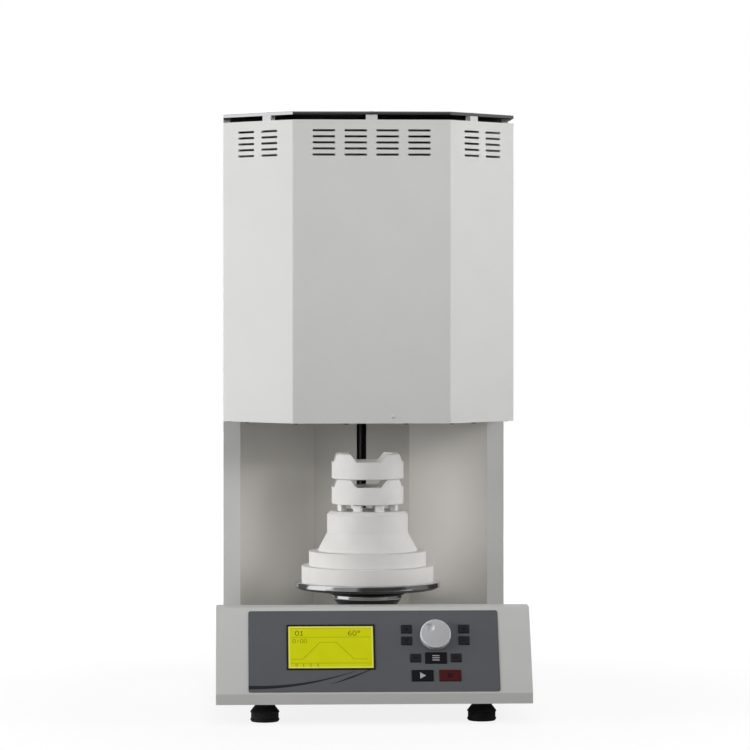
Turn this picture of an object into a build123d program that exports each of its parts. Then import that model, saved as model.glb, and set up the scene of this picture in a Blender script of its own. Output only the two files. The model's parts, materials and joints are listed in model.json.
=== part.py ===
from build123d import *

import os
from math import atan2, cos, radians, sin, sqrt, tan

# A bottom-loading sintering furnace for dental work. A half-octagonal head holds the hot
# chamber. A round table carries a fibre plug and two bowls up into it, on an arm that comes
# through a slot in the column behind. The controls are on the sloping front of the base.
# Millimetres. X runs to the right, Y to the back, Z up; the origin is on the bench, under
# the middle of the base.

os.makedirs("parts", exist_ok=True)

# ---------------------------------------------------------------- driving dimensions
# Sheet metal and fits
sheet = 1.5  # casings, covers and the tray
fit = 0.3  # between parts that slip into each other, and at a seat of a loose part
running_fit = 0.05  # radial, shaft in bearing
bend = 3.0  # outer radius of the covers' bends
facing = 0.99  # cosine; a face whose normal is this near a direction looks that way

# Base
base_width = 400.0
base_depth = 520.0
foot_height = 25.5
front_strip = 13.5  # upright strip under the sloping panel
panel_rise = 104.0
panel_lean = 57.0  # how far the panel leans back over its rise
console_ledge = 36.0  # flat top behind the panel
deck_drop = 38.0  # deck below the console's top
rear_margin = 5.0  # room for what stands out of the rear walls
tray_lip = 12.0

# Feet
foot_inset_x = 62.0
foot_inset_y = 40.0
foot_radius = 18.5
foot_neck_radius = 13.0
foot_neck = 5.5
foot_shoulder = 7.0

# Overlay and what stands in it; places are from the overlay's middle, up the slope
overlay_width = 318.0
overlay_height = 111.0
overlay_thickness = 0.6
overlay_corner = 3.0
overlay_top_margin = 5.5
display_x = -54.5
display_y = 5.5
display_width = 112.6
display_height = 62.0
bezel_border = 2.3
bezel_proud = 0.8
bezel_depth = 4.0
display_recess = 0.8  # screen below the bezel's face
board_thickness = 1.6
board_margin = 6.0
knob_x = 78.5
knob_y = 19.7
knob_radius = 19.6
knob_height = 10.0
knob_gap = 0.6
knob_rim = 1.5
dimple_radius = 6.0
dimple_depth = 2.0
dimple_slope = 50.0  # of its wall, from upright
dimple_offset = 10.6
shaft_radius = 3.0
bush_radius = 4.5
bush_proud = 5.0
encoder_size = 14.0
encoder_height = 7.0
small_key = (13.2, 11.3)
wide_key = (27.0, 15.0)
side_key_reach = 36.6
side_key_middle = 21.7
side_key_rise = 8.0
step_key_reach = 25.7
step_key_y = -9.9
start_key_reach = 17.5
start_key_y = -33.9
key_travel = 0.5
key_proud = 1.0
key_clearance = 0.4
key_flange = 1.6
key_flange_thickness = 1.2
stem_width = 3.5
stem_length = 5.5
switch_size = 6.0
switch_height = 3.6
standoff_width = 5.0

# Column
post_width = 23.0
column_front_setback = 335.0  # base's front edge to the posts
recess_depth = 75.0
recess_back_width = 132.0
recess_hem = 8.0  # of the recess panel, behind each post
rear_flange = 14.0
slot_width = 13.4
slot_clearance = 3.0

# Head
side_step = 9.3  # head and column are narrower than the base on each side
head_setback = 90.0  # base's front edge to the head's front facet
facet_depth = 89.0  # the 45-degree facets go back, and in, this far
head_underside = 376.0
head_height = 391.0
casing_flange = 15.0
floor_thickness = 2.0
vent_length = 28.5
vent_height = 2.8
vent_row_pitch = 7.8
vent_rows = 5
vent_top_margin = 13.8
vent_column_pitch = 41.0
front_vent_columns = 4
facet_vent_columns = 2
facet_vent_pitch = 42.0
lid_gap = 6.5
lid_thickness = 4.5
lid_sheet = 1.2
spacer_length = 15.0
spacer_depth = 8.0
spacer_share = 0.38  # of a facet, from its front fold to its spacer

# Chamber
chamber_setback = 125.0  # head's front facet to the lift axis
insulation_gap = 7.5
chamber_radius = 76.0
plug_gap = 1.5  # all round the plug and above its steps
ceiling_gap = 8.0
roof_thickness = 70.0
element_count = 4
element_circle = 66.0
element_half_span = 15.0
element_bend = 9.0
hot_radius = 3.0
cold_radius = 6.0
cold_reach = 10.0  # cold end below the ceiling
cold_stand = 34.0  # cold end above the roof
element_rise = 30.0  # bend above the chamber's lower edge
holder_width = 26.0
holder_height = 16.0
probe_angle = 135.0
probe_circle = 59.0
probe_radius = 4.0
probe_reach = 16.0
probe_head_radius = 10.0
probe_head_height = 22.0

# Lift table and plug
table_height = 163.0  # top of the plate above the bench, lowered
plate_radius = 96.3
plate_thickness = 10.0
plate_edge = 4.0
seal_gap = 0.5  # plate under the head's floor, raised
collar_radius = 47.0
collar_foot_radius = 42.5
collar_height = 7.0
collar_ledge = 1.0  # collar beyond the hub under it
hub_foot_radius = 32.4
deck_gap = 18.0
plug_base_radius = 87.3
plug_base_height = 21.0
plug_step_radius = 77.5
plug_step_height = 19.5
plug_foot_radius = 66.3
plug_top_radius = 53.5
plug_cone_height = 24.0
plug_neck_height = 28.8
plug_chamfer = 4.8
peg_count = 8
peg_width = 11.0
peg_depth = 8.0
peg_circle = 37.0
peg_height = 8.8
bowl_radius = 47.5
bowl_wall = 7.0
bowl_height = 33.1
notch_depth = 10.0
notch_top_width = 45.0
notch_foot_width = 27.0
bowl_lift = 30.0  # room above for taking the upper bowl off

# Lift drive
arm_thickness = 11.0
arm_rise = 6.0  # arm is this much deeper at the carriage than at the hub
arm_foot_width = 44.0
arm_foot_thickness = 8.0
arm_hub_reach = 14.0
carriage_gap = 12.0
carriage_thickness = 12.0
carriage_width = 132.0
drive_offset = 25.0  # drive axes behind the carriage plate
rod_reach = 50.0
rod_radius = 6.0
bushing_radius = 10.5
bushing_length = 57.0
boss_wall = 5.5
boss_height = 70.0
screw_radius = 8.0
journal_radius = 4.0  # screw ends and motor shaft
nut_radius = 14.0
nut_flange_width = 38.0
nut_flange = 7.0
nut_length = 36.0
bearing_radius = 11.0
bearing_width = 7.0
support_height = 16.0
support_depth = 36.0
lower_support_width = 140.0
end_gap = 8.0  # carriage short of each support
motor_size = 56.4
motor_length = 40.0
motor_lift = 1.5  # motor above the tray floor
motor_corner = 5.0
pilot_radius = 19.0
pilot_height = 1.6
bracket_thickness = 3.0
bracket_margin = 6.0
shaft_proud = 16.0
coupling_radius = 11.0
coupling_length = 24.0

# Fan
fan_size = 119.0
fan_depth = 38.0
fan_bore = 57.0
fan_drop = 140.0  # fan's axis below the top of the casing
fan_tip_gap = 1.5
fan_hub_radius = 19.0
fan_boss_height = 12.0
fan_pin_radius = 3.0
fan_strut_width = 6.0
blade_count = 7
blade_thickness = 1.8
blade_pitch = 38.0
blade_chord = 26.0
blade_root = 1.0  # blade ends in the hub
grille_pitch = 9.0
grille_slot = 4.0
rear_vent_rows = 6

# Rear sockets
inlet_x = 130.0
switch_x = 78.0
socket_z = 72.0
inlet_flange = (50.0, 28.0)
inlet_body = (28.0, 22.0)
inlet_depth = 28.0
inlet_socket_depth = 17.0
inlet_wall = 2.0
inlet_pin_pitch = 7.0
inlet_pin_drop = 2.75  # pins below the socket's middle
flange_thickness = 2.2
rocker_flange = (22.0, 30.0)
rocker_body = (18.0, 25.0)
rocker_depth = 16.0
rocker_swing = 16.0
rocker_radius = 11.2
rocker_pin_radius = 1.5
rocker_pin_reach = 1.5

# Transformer and power board
core_size = (96.0, 60.0, 70.0)
core_leg = 16.0
coil_size = (58.0, 84.0, 38.0)
coil_corner = 8.0
core_place = (-105.0, 90.0)
power_board_size = (150.0, 110.0)
power_board_place = (110.0, 60.0)
power_board_lift = 8.0
heatsink_size = (90.0, 40.0)
heatsink_height = 34.0
heatsink_base = 5.0
fin_count = 8
fin_thickness = 1.6

# ---------------------------------------------------------------- derived places
front_y = -base_depth / 2
rear_y = base_depth / 2 - rear_margin
panel_foot_z = foot_height + front_strip
console_top = panel_foot_z + panel_rise
deck_top = console_top - deck_drop
panel_top_y = front_y + panel_lean
console_back = panel_top_y + console_ledge
tray_top = foot_height + sheet
lean = atan2(panel_lean, panel_rise)

head_half = base_width / 2 - side_step
facet_half = head_half - facet_depth
head_front = front_y + head_setback
facet_back = head_front + facet_depth
column_front = front_y + column_front_setback
column_back = rear_y - sheet
post_inner = head_half - post_width
recess_back = column_front + recess_depth
recess_back_half = recess_back_width / 2
casing_top = head_underside + head_height
lid_top = casing_top + lid_gap + lid_thickness
floor_z = head_underside + sheet  # underside of the head's floor plate

table_y = head_front + chamber_setback
travel = floor_z - seal_gap - table_height
plug_step_z = table_height + plug_base_height
plug_cone_z = plug_step_z + plug_step_height
plug_neck_z = plug_cone_z + plug_cone_height
plug_top = plug_neck_z + plug_neck_height
lower_bowl_z = plug_top + peg_height + fit
upper_bowl_z = lower_bowl_z + bowl_height + fit
stack_top = upper_bowl_z + bowl_height
collar_z = table_height - plate_thickness - collar_height
hub_z = deck_top + deck_gap

insulation_radius = chamber_setback - sheet - insulation_gap
mouth_z = floor_z + floor_thickness
mouth_step_z = plug_step_z + travel + plug_gap
chamber_z = plug_cone_z + travel + plug_gap
ceiling_z = stack_top + travel + bowl_lift + ceiling_gap
roof_z = ceiling_z + roof_thickness
mouth_radius = plug_base_radius + plug_gap
throat_radius = plug_step_radius + plug_gap

carriage_front = recess_back + sheet + carriage_gap
drive_y = carriage_front + carriage_thickness + drive_offset
lower_support_top = deck_top + support_height
boss_z = lower_support_top + end_gap
carriage_top = boss_z + boss_height + nut_flange
upper_support_z = carriage_top + travel + end_gap
arm_top = collar_z + arm_rise
motor_z = tray_top + motor_lift
motor_top = motor_z + motor_length
shaft_top = motor_top + shaft_proud

# Faces and axes that several pieces are built on
overlay_middle = overlay_top_margin + overlay_height / 2
panel = Plane(
    origin=(0, panel_top_y - overlay_middle * sin(lean), console_top - overlay_middle * cos(lean)),
    x_dir=(1, 0, 0),
    z_dir=(0, -cos(lean), sin(lean)),
)
rear = Plane(origin=(0, rear_y, 0), x_dir=(-1, 0, 0), z_dir=(0, 1, 0))
table_section = Plane.XZ.offset(-table_y)
table_axis = Axis((0, table_y, 0), (0, 0, 1))
drive_section = Plane.XZ.offset(-drive_y)
drive_axis = Axis((0, drive_y, 0), (0, 0, 1))
knob_centre = panel.from_local_coords((knob_x, knob_y, 0))
knob_section = Plane(origin=knob_centre, x_dir=panel.x_dir, z_dir=-panel.y_dir)
knob_axis = Axis(knob_centre, panel.z_dir)

key_places = {
    "key_up": (knob_x - side_key_reach, side_key_middle + side_key_rise, small_key),
    "key_down": (knob_x - side_key_reach, side_key_middle - side_key_rise, small_key),
    "key_plus": (knob_x + side_key_reach, side_key_middle + side_key_rise, small_key),
    "key_minus": (knob_x + side_key_reach, side_key_middle - side_key_rise, small_key),
    "key_back": (knob_x - step_key_reach, step_key_y, small_key),
    "key_forward": (knob_x + step_key_reach, step_key_y, small_key),
    "key_program": (knob_x, step_key_y, wide_key),
    "key_start": (knob_x - start_key_reach, start_key_y, wide_key),
    "key_stop": (knob_x + start_key_reach, start_key_y, wide_key),
}
# depths behind the panel's outer face
flange_depth = sheet + fit
stem_end = flange_depth + key_flange_thickness + stem_length
board_depth = stem_end + key_travel + fit + switch_height


def polygon(points, plane=Plane.XY):
    """A flat face with the given corners."""
    with BuildSketch(plane) as face:
        with BuildLine():
            Polyline(*points, close=True)
        make_face()
    return face.sketch


def head_outline(inset, back):
    """The half-octagon of the head, moved inwards by inset and closed at back."""
    corner = inset * tan(radians(22.5))
    right = [
        (facet_half - corner, head_front + inset),
        (head_half - inset, facet_back + corner),
        (head_half - inset, back),
    ]
    return [(-x, y) for x, y in reversed(right)] + right


def panel_windows(clearance):
    """What stands through the sloping panel, each with clearance all round."""
    with BuildSketch(panel) as windows:
        for x, y, size in key_places.values():
            with Locations((x, y)):
                Rectangle(size[0] + 2 * clearance, size[1] + 2 * clearance)
        with Locations((display_x, display_y)):
            Rectangle(display_width + 2 * running_fit, display_height + 2 * running_fit)
        with Locations((knob_x, knob_y)):
            Circle(bush_radius + clearance)
    return windows.sketch


# ---------------------------------------------------------------- base
with BuildPart() as base_cover:
    with BuildSketch(Plane.YZ):
        with BuildLine():
            Polyline(
                (front_y, foot_height),
                (front_y, panel_foot_z),
                (panel_top_y, console_top),
                (console_back, console_top),
                (console_back, deck_top),
                (rear_y, deck_top),
                (rear_y, foot_height),
                close=True,
            )
        make_face()
    extrude(amount=base_width / 2, both=True)
    bends = base_cover.edges().filter_by(Axis.X).filter_by(lambda e: e.center().Z > tray_top)
    fillet(bends.filter_by(lambda e: e.center().Z != deck_top or e.center().Y > 0), bend)
    offset(amount=-sheet, openings=base_cover.faces().sort_by(Axis.Z)[0])
    extrude(panel_windows(key_clearance), amount=2 * sheet, both=True, mode=Mode.SUBTRACT)
    # hole for the lift screw's journal, and the cable way between base and column
    with Locations((0, drive_y, deck_top)):
        Hole(radius=coupling_radius + sheet, depth=2 * sheet)
    with BuildSketch(Plane.XY.offset(deck_top)):
        with Locations((-(lower_support_width / 2 + post_width), drive_y)):
            SlotOverall(support_depth, support_depth / 2, rotation=90)
    extrude(amount=-2 * sheet, mode=Mode.SUBTRACT)
    # sockets and air slots in the rear wall
    with BuildSketch(rear):
        with Locations((-inlet_x, socket_z)):
            Rectangle(inlet_body[0] + 2 * fit, inlet_body[1] + 2 * fit)
        with Locations((-switch_x, socket_z)):
            Rectangle(rocker_body[0] + 2 * fit, rocker_body[1] + 2 * fit)
        with Locations((head_half / 2, socket_z)):
            with GridLocations(vent_column_pitch, 2 * vent_row_pitch, 3, 3):
                Rectangle(vent_length, grille_slot)
    extrude(amount=-2 * sheet, mode=Mode.SUBTRACT)
base_cover.part.label = "base_cover"
export_step(base_cover.part, "parts/base_cover.step")

with BuildPart() as base_tray:
    with BuildSketch(Plane.XY.offset(foot_height)):
        with Locations((0, (front_y + rear_y) / 2)):
            Rectangle(base_width - 2 * (sheet + fit), rear_y - front_y - 2 * (sheet + fit))
    extrude(amount=tray_lip)
    offset(amount=-sheet, openings=base_tray.faces().sort_by(Axis.Z)[-1])
    with BuildSketch(Plane.XY.offset(foot_height)):
        with Locations((0, front_y / 2)):
            with GridLocations(vent_column_pitch, 2 * vent_row_pitch, 4, 3):
                Rectangle(vent_length, grille_slot)
    extrude(amount=sheet, mode=Mode.SUBTRACT)
base_tray.part.label = "base_tray"
export_step(base_tray.part, "parts/base_tray.step")

foot_profile = [
    (0, 0),
    (foot_radius, 0),
    (foot_radius, foot_height - foot_neck - foot_shoulder),
    (foot_neck_radius, foot_height - foot_neck),
    (foot_neck_radius, foot_height),
    (0, foot_height),
]
with BuildPart() as foot:
    revolve(polygon(foot_profile, Plane.XZ), axis=Axis.Z)
with BuildPart() as rubber_feet:
    with GridLocations(base_width - 2 * foot_inset_x, base_depth - 2 * foot_inset_y, 2, 2):
        add(foot.part)
rubber_feet.part.label = "rubber_feet"
export_step(rubber_feet.part, "parts/rubber_feet.step")

# ---------------------------------------------------------------- control panel
with BuildPart() as control_overlay:
    with BuildSketch(panel):
        RectangleRounded(overlay_width, overlay_height, overlay_corner)
    extrude(amount=overlay_thickness)
    extrude(panel_windows(key_clearance), amount=sheet, both=True, mode=Mode.SUBTRACT)
control_overlay.part.label = "control_overlay"
export_step(control_overlay.part, "parts/control_overlay.step")

screen_width = display_width - 2 * bezel_border
screen_height = display_height - 2 * bezel_border
with BuildPart() as display_bezel:
    with BuildSketch(panel.offset(-bezel_depth)):
        with Locations((display_x, display_y)):
            Rectangle(display_width, display_height)
            Rectangle(screen_width, screen_height, mode=Mode.SUBTRACT)
    extrude(amount=bezel_depth + overlay_thickness + bezel_proud)
    outer = display_bezel.faces().filter_by(lambda f: f.normal_at().dot(panel.z_dir) > facing)
    chamfer(outer.edges(), bezel_proud / 2)
display_bezel.part.label = "display_bezel"
export_step(display_bezel.part, "parts/display_bezel.step")

with BuildPart() as display_panel:
    with BuildSketch(panel.offset(-bezel_depth)):
        with Locations((display_x, display_y)):
            Rectangle(screen_width, screen_height)
    extrude(amount=bezel_depth + overlay_thickness + bezel_proud - display_recess)
    with BuildSketch(panel.offset(-bezel_depth)):
        with Locations((display_x, display_y)):
            Rectangle(display_width + 2 * board_margin, display_height + 2 * board_margin)
    extrude(amount=-board_thickness)
    with BuildSketch(panel.offset(-bezel_depth)):
        with Locations((display_x, display_y)):
            with GridLocations(display_width + board_margin, display_height + board_margin, 2, 2):
                Rectangle(board_margin / 2, board_margin / 2)
    extrude(amount=bezel_depth - sheet)
display_panel.part.label = "display_panel"
export_step(display_panel.part, "parts/display_panel.step")

board_width = 2 * side_key_reach + small_key[0] + 4 * board_margin
board_low = start_key_y - wide_key[1] / 2 - board_margin
board_high = side_key_middle + side_key_rise + small_key[1] / 2 + board_margin
with BuildPart() as control_board:
    with BuildSketch(panel.offset(-board_depth)):
        with Locations((knob_x, (board_low + board_high) / 2)):
            Rectangle(board_width, board_high - board_low)
    extrude(amount=-board_thickness)
    with BuildSketch(panel.offset(-board_depth)):
        with Locations(*[(x, y) for x, y, size in key_places.values()]):
            Rectangle(switch_size, switch_size)
    extrude(amount=switch_height)
    with BuildSketch(panel.offset(-board_depth)):
        with Locations((knob_x, (board_low + board_high) / 2)):
            with GridLocations(board_width - 2 * board_margin, board_high - board_low - board_margin, 2, 2):
                Rectangle(standoff_width, standoff_width)
    extrude(amount=board_depth - sheet)
control_board.part.label = "control_board"
export_step(control_board.part, "parts/control_board.step")

with BuildPart() as encoder:
    with BuildSketch(panel.offset(-board_depth)):
        with Locations((knob_x, knob_y)):
            Rectangle(encoder_size, encoder_size)
    extrude(amount=encoder_height)
    with BuildSketch(panel.offset(-board_depth)):
        with Locations((knob_x, knob_y)):
            Circle(bush_radius)
    extrude(amount=board_depth + bush_proud)
    with BuildSketch(panel.offset(bush_proud)):
        with Locations((knob_x, knob_y)):
            Circle(shaft_radius + running_fit)
    extrude(amount=-(bush_proud + board_depth - encoder_height / 2), mode=Mode.SUBTRACT)
encoder.part.label = "encoder"
export_step(encoder.part, "parts/encoder.step")

knob_foot = overlay_thickness + knob_gap
knob_top = knob_foot + knob_height
cavity_radius = bush_radius + 2 * knob_gap
cavity_top = bush_proud + knob_gap
shaft_foot = -(board_depth - encoder_height / 2 - fit)
knob_profile = [
    (0, shaft_foot),
    (shaft_radius, shaft_foot),
    (shaft_radius, cavity_top),
    (cavity_radius, cavity_top),
    (cavity_radius, knob_foot),
    (knob_radius, knob_foot),
    (knob_radius, knob_top - knob_rim),
    (knob_radius - knob_rim, knob_top),
    (0, knob_top),
]
with BuildPart() as control_knob:
    revolve(polygon(knob_profile, knob_section), axis=knob_axis)
    # finger dimple towards the upper left
    dimple_side = dimple_offset * sin(radians(45))
    with BuildSketch(panel.offset(knob_top)):
        with Locations((knob_x - dimple_side, knob_y + dimple_side)):
            Circle(dimple_radius)
    extrude(amount=-dimple_depth, taper=dimple_slope, mode=Mode.SUBTRACT)
control_knob.part.label = "control_knob"
export_step(control_knob.part, "parts/control_knob.step")

for name, (x, y, size) in key_places.items():
    with BuildPart() as key:
        with BuildSketch(panel.offset(-flange_depth)):
            with Locations((x, y)):
                Rectangle(*size)
        extrude(amount=flange_depth + overlay_thickness + key_proud)
        face = key.faces().filter_by(lambda f: f.normal_at().dot(panel.z_dir) > facing)
        chamfer(face.edges(), key_proud / 3)
        with BuildSketch(panel.offset(-flange_depth)):
            with Locations((x, y)):
                Rectangle(size[0] + 2 * key_flange, size[1] + 2 * key_flange)
        extrude(amount=-key_flange_thickness)
        with BuildSketch(panel.offset(-flange_depth)):
            with Locations((x, y)):
                Rectangle(stem_width, stem_width)
        extrude(amount=-(stem_end - flange_depth))
    key.part.label = name
    export_step(key.part, f"parts/{name}.step")

# ---------------------------------------------------------------- inside the base
with BuildPart() as transformer:
    with BuildSketch(Plane.XY.offset(tray_top)):
        with Locations(core_place):
            Rectangle(core_size[0], core_size[1])
    extrude(amount=core_size[2])
    with BuildSketch(Plane.XY.offset(tray_top + core_leg)):
        with Locations(core_place):
            RectangleRounded(coil_size[0], coil_size[1], coil_corner)
    extrude(amount=coil_size[2])
transformer.part.label = "transformer"
export_step(transformer.part, "parts/transformer.step")

with BuildPart() as power_board:
    board_z = tray_top + power_board_lift
    with BuildSketch(Plane.XY.offset(board_z)):
        with Locations(power_board_place):
            Rectangle(*power_board_size)
    extrude(amount=board_thickness)
    with BuildSketch(Plane.XY.offset(tray_top)):
        with Locations(power_board_place):
            with GridLocations(
                power_board_size[0] - 2 * board_margin, power_board_size[1] - 2 * board_margin, 2, 2
            ):
                Rectangle(standoff_width, standoff_width)
    extrude(amount=power_board_lift)
    with BuildSketch(Plane.XY.offset(board_z + board_thickness)):
        with Locations(power_board_place):
            Rectangle(*heatsink_size)
    extrude(amount=heatsink_base)
    with BuildSketch(Plane.XY.offset(board_z + board_thickness + heatsink_base)):
        with Locations(power_board_place):
            with GridLocations((heatsink_size[0] - fin_thickness) / (fin_count - 1), 0, fin_count, 1):
                Rectangle(fin_thickness, heatsink_size[1])
    extrude(amount=heatsink_height - heatsink_base)
power_board.part.label = "power_board"
export_step(power_board.part, "parts/power_board.step")

with BuildPart() as power_inlet:
    with BuildSketch(rear):
        with Locations((-inlet_x, socket_z)):
            RectangleRounded(*inlet_flange, bend)
    extrude(amount=flange_thickness)
    with BuildSketch(rear):
        with Locations((-inlet_x, socket_z)):
            Rectangle(*inlet_body)
    extrude(amount=-inlet_depth)
    with BuildSketch(rear.offset(flange_thickness)):
        with Locations((-inlet_x, socket_z)):
            Rectangle(inlet_body[0] - 2 * inlet_wall, inlet_body[1] - 2 * inlet_wall)
    extrude(amount=-(inlet_socket_depth + flange_thickness), mode=Mode.SUBTRACT)
    with BuildSketch(rear.offset(-inlet_socket_depth)):
        with Locations((-inlet_x, socket_z - inlet_pin_drop)):
            with GridLocations(inlet_pin_pitch, 0, 3, 1):
                Rectangle(inlet_wall, 2 * inlet_wall)
    extrude(amount=inlet_socket_depth - inlet_wall)
power_inlet.part.label = "power_inlet"
export_step(power_inlet.part, "parts/power_inlet.step")

pocket = (rocker_body[0] - 2 * inlet_wall, rocker_body[1] - inlet_wall / 2)
with BuildPart() as mains_switch:
    with BuildSketch(rear):
        with Locations((-switch_x, socket_z)):
            RectangleRounded(*rocker_flange, bend / 2)
    extrude(amount=flange_thickness)
    with BuildSketch(rear):
        with Locations((-switch_x, socket_z)):
            Rectangle(*rocker_body)
    extrude(amount=-rocker_depth)
    with BuildSketch(rear.offset(flange_thickness)):
        with Locations((-switch_x, socket_z)):
            Rectangle(*pocket)
    extrude(amount=-(rocker_depth + flange_thickness - inlet_wall), mode=Mode.SUBTRACT)
    # two short pins that the rocker turns on
    for side in (-1, 1):
        with BuildSketch(Plane.YZ.offset(switch_x + side * pocket[0] / 2)):
            with Locations((rear_y, socket_z)):
                Circle(rocker_pin_radius)
        extrude(amount=-side * rocker_pin_reach)
mains_switch.part.label = "mains_switch"
export_step(mains_switch.part, "parts/mains_switch.step")

rocker_half = pocket[0] / 2 - fit
with BuildPart() as mains_rocker:
    # a round-ended paddle whose two faces meet at a shallow angle, with one side pressed in
    with BuildSketch(Plane.YZ.offset(switch_x)):
        with Locations((rear_y, socket_z)):
            Circle(rocker_radius)
    extrude(amount=rocker_half, both=True)
    swing = radians(rocker_swing)
    reach = 2 * rocker_radius
    nose = rear_y + flange_thickness
    cutter = [
        (nose, socket_z),
        (nose, socket_z + reach),
        (nose + reach, socket_z + reach),
        (nose + reach, socket_z - reach),
        (nose + reach * sin(swing), socket_z - reach * cos(swing)),
    ]
    extrude(polygon(cutter, Plane.YZ.offset(switch_x)), amount=rocker_half, both=True, mode=Mode.SUBTRACT)
    back = [
        (rear_y - rocker_radius / 2, socket_z - reach),
        (rear_y - rocker_radius / 2, socket_z + reach),
        (rear_y - reach, socket_z + reach),
        (rear_y - reach, socket_z - reach),
    ]
    extrude(polygon(back, Plane.YZ.offset(switch_x)), amount=rocker_half, both=True, mode=Mode.SUBTRACT)
    with BuildSketch(Plane.YZ.offset(switch_x)):
        with Locations((rear_y, socket_z)):
            Circle(rocker_pin_radius + running_fit)
    extrude(amount=rocker_half, both=True, mode=Mode.SUBTRACT)
mains_rocker.part.label = "mains_rocker"
export_step(mains_rocker.part, "parts/mains_rocker.step")

# ---------------------------------------------------------------- column
column_depth = column_back - column_front
column_middle = (column_back + column_front) / 2
with BuildPart() as column_shell:
    with BuildSketch(Plane.XY.offset(deck_top)):
        with Locations((0, column_middle)):
            Rectangle(2 * head_half, column_depth)
            Rectangle(2 * (head_half - sheet), column_depth - 2 * sheet, mode=Mode.SUBTRACT)
        with Locations((0, column_front)):
            Rectangle(2 * post_inner, 2 * sheet, mode=Mode.SUBTRACT)
        with Locations((0, column_back)):
            Rectangle(2 * (head_half - rear_flange), 2 * sheet, mode=Mode.SUBTRACT)
    extrude(amount=casing_top - deck_top)
    with BuildSketch(Plane.XY.offset(casing_top)):
        with Locations((0, column_middle)):
            Rectangle(2 * head_half, column_depth)
    extrude(amount=-sheet)
column_shell.part.label = "column_shell"
export_step(column_shell.part, "parts/column_shell.step")

hem_y = column_front + sheet
recess_line = [
    (-(post_inner + recess_hem), hem_y),
    (-post_inner, hem_y),
    (-recess_back_half, recess_back),
    (recess_back_half, recess_back),
    (post_inner, hem_y),
    (post_inner + recess_hem, hem_y),
]
arm_bottom = hub_z + fit
slot_low = arm_bottom - slot_clearance
slot_high = arm_top + travel + slot_clearance
with BuildPart() as recess_panel:
    with BuildSketch(Plane.XY.offset(deck_top)):
        with BuildLine():
            Polyline(*recess_line)
            offset(amount=sheet, side=Side.LEFT)
        make_face()
    extrude(amount=floor_z - deck_top)
    with BuildSketch(Plane.XZ.offset(-recess_back)):
        with Locations((0, (slot_low + slot_high) / 2)):
            Rectangle(slot_width, slot_high - slot_low)
    extrude(amount=-2 * sheet, both=True, mode=Mode.SUBTRACT)
recess_panel.part.label = "recess_panel"
export_step(recess_panel.part, "parts/recess_panel.step")

fan_z = casing_top - fan_drop
with BuildPart() as rear_cover:
    with BuildSketch(rear.offset(-sheet)):
        with Locations((0, (deck_top + casing_top) / 2)):
            Rectangle(2 * head_half, casing_top - deck_top)
        # slots across the fan's circle, each as long as the circle allows
        rows = int(fan_bore / grille_pitch)
        for row in range(-rows, rows + 1):
            height = row * grille_pitch
            with Locations((0, fan_z + height)):
                Rectangle(2 * sqrt(fan_bore**2 - height**2), grille_slot, mode=Mode.SUBTRACT)
        with Locations((0, deck_top + fan_size / 2)):
            with GridLocations(vent_column_pitch, grille_pitch, front_vent_columns, rear_vent_rows):
                Rectangle(vent_length, grille_slot, mode=Mode.SUBTRACT)
    extrude(amount=sheet)
rear_cover.part.label = "rear_cover"
export_step(rear_cover.part, "parts/rear_cover.step")

# ---------------------------------------------------------------- fan
fan_back = rear_y - sheet
fan_front = fan_back - fan_depth
fan_face = Plane(origin=(0, fan_front, fan_z), x_dir=(1, 0, 0), z_dir=(0, -1, 0))
with BuildPart() as fan_frame:
    with BuildSketch(fan_face):
        Rectangle(fan_size, fan_size)
        Circle(fan_bore, mode=Mode.SUBTRACT)
    extrude(amount=-fan_depth)
    # motor boss on four struts at the back, with the pin that the rotor turns on
    with BuildSketch(fan_face.offset(-fan_depth)):
        Circle(fan_hub_radius)
        with PolarLocations(0, 2, start_angle=45, angular_range=180):
            Rectangle(2 * fan_bore + sheet, fan_strut_width)
    extrude(amount=bend)
    with BuildSketch(fan_face.offset(-fan_depth)):
        Circle(fan_hub_radius)
    extrude(amount=fan_boss_height)
    with BuildSketch(fan_face.offset(-fan_depth)):
        Circle(fan_pin_radius)
    extrude(amount=fan_depth - bend)
fan_frame.part.label = "fan_frame"
export_step(fan_frame.part, "parts/fan_frame.step")

rotor_length = fan_depth - fan_boss_height - bend
blade_length = fan_bore - fan_tip_gap - fan_hub_radius + blade_root
with BuildPart() as fan_rotor:
    with BuildSketch(fan_face.offset(-fan_depth + fan_boss_height + fit)):
        Circle(fan_hub_radius)
    extrude(amount=rotor_length)
    blade_y = fan_front + fan_depth - fan_boss_height - fit - rotor_length / 2
    for index in range(blade_count):
        turn = 360 * index / blade_count
        outwards = (cos(radians(turn)), 0, sin(radians(turn)))
        root = Plane(origin=(0, blade_y, fan_z), x_dir=(0, 1, 0), z_dir=outwards)
        with BuildSketch(root.offset(fan_hub_radius - blade_root)):
            Rectangle(blade_chord, blade_thickness, rotation=blade_pitch)
        extrude(amount=blade_length)
    with BuildSketch(fan_face.offset(-fan_depth)):
        Circle(fan_pin_radius + running_fit)
    extrude(amount=fan_depth - bend + fit, mode=Mode.SUBTRACT)
fan_rotor.part.label = "fan_rotor"
export_step(fan_rotor.part, "parts/fan_rotor.step")

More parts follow.
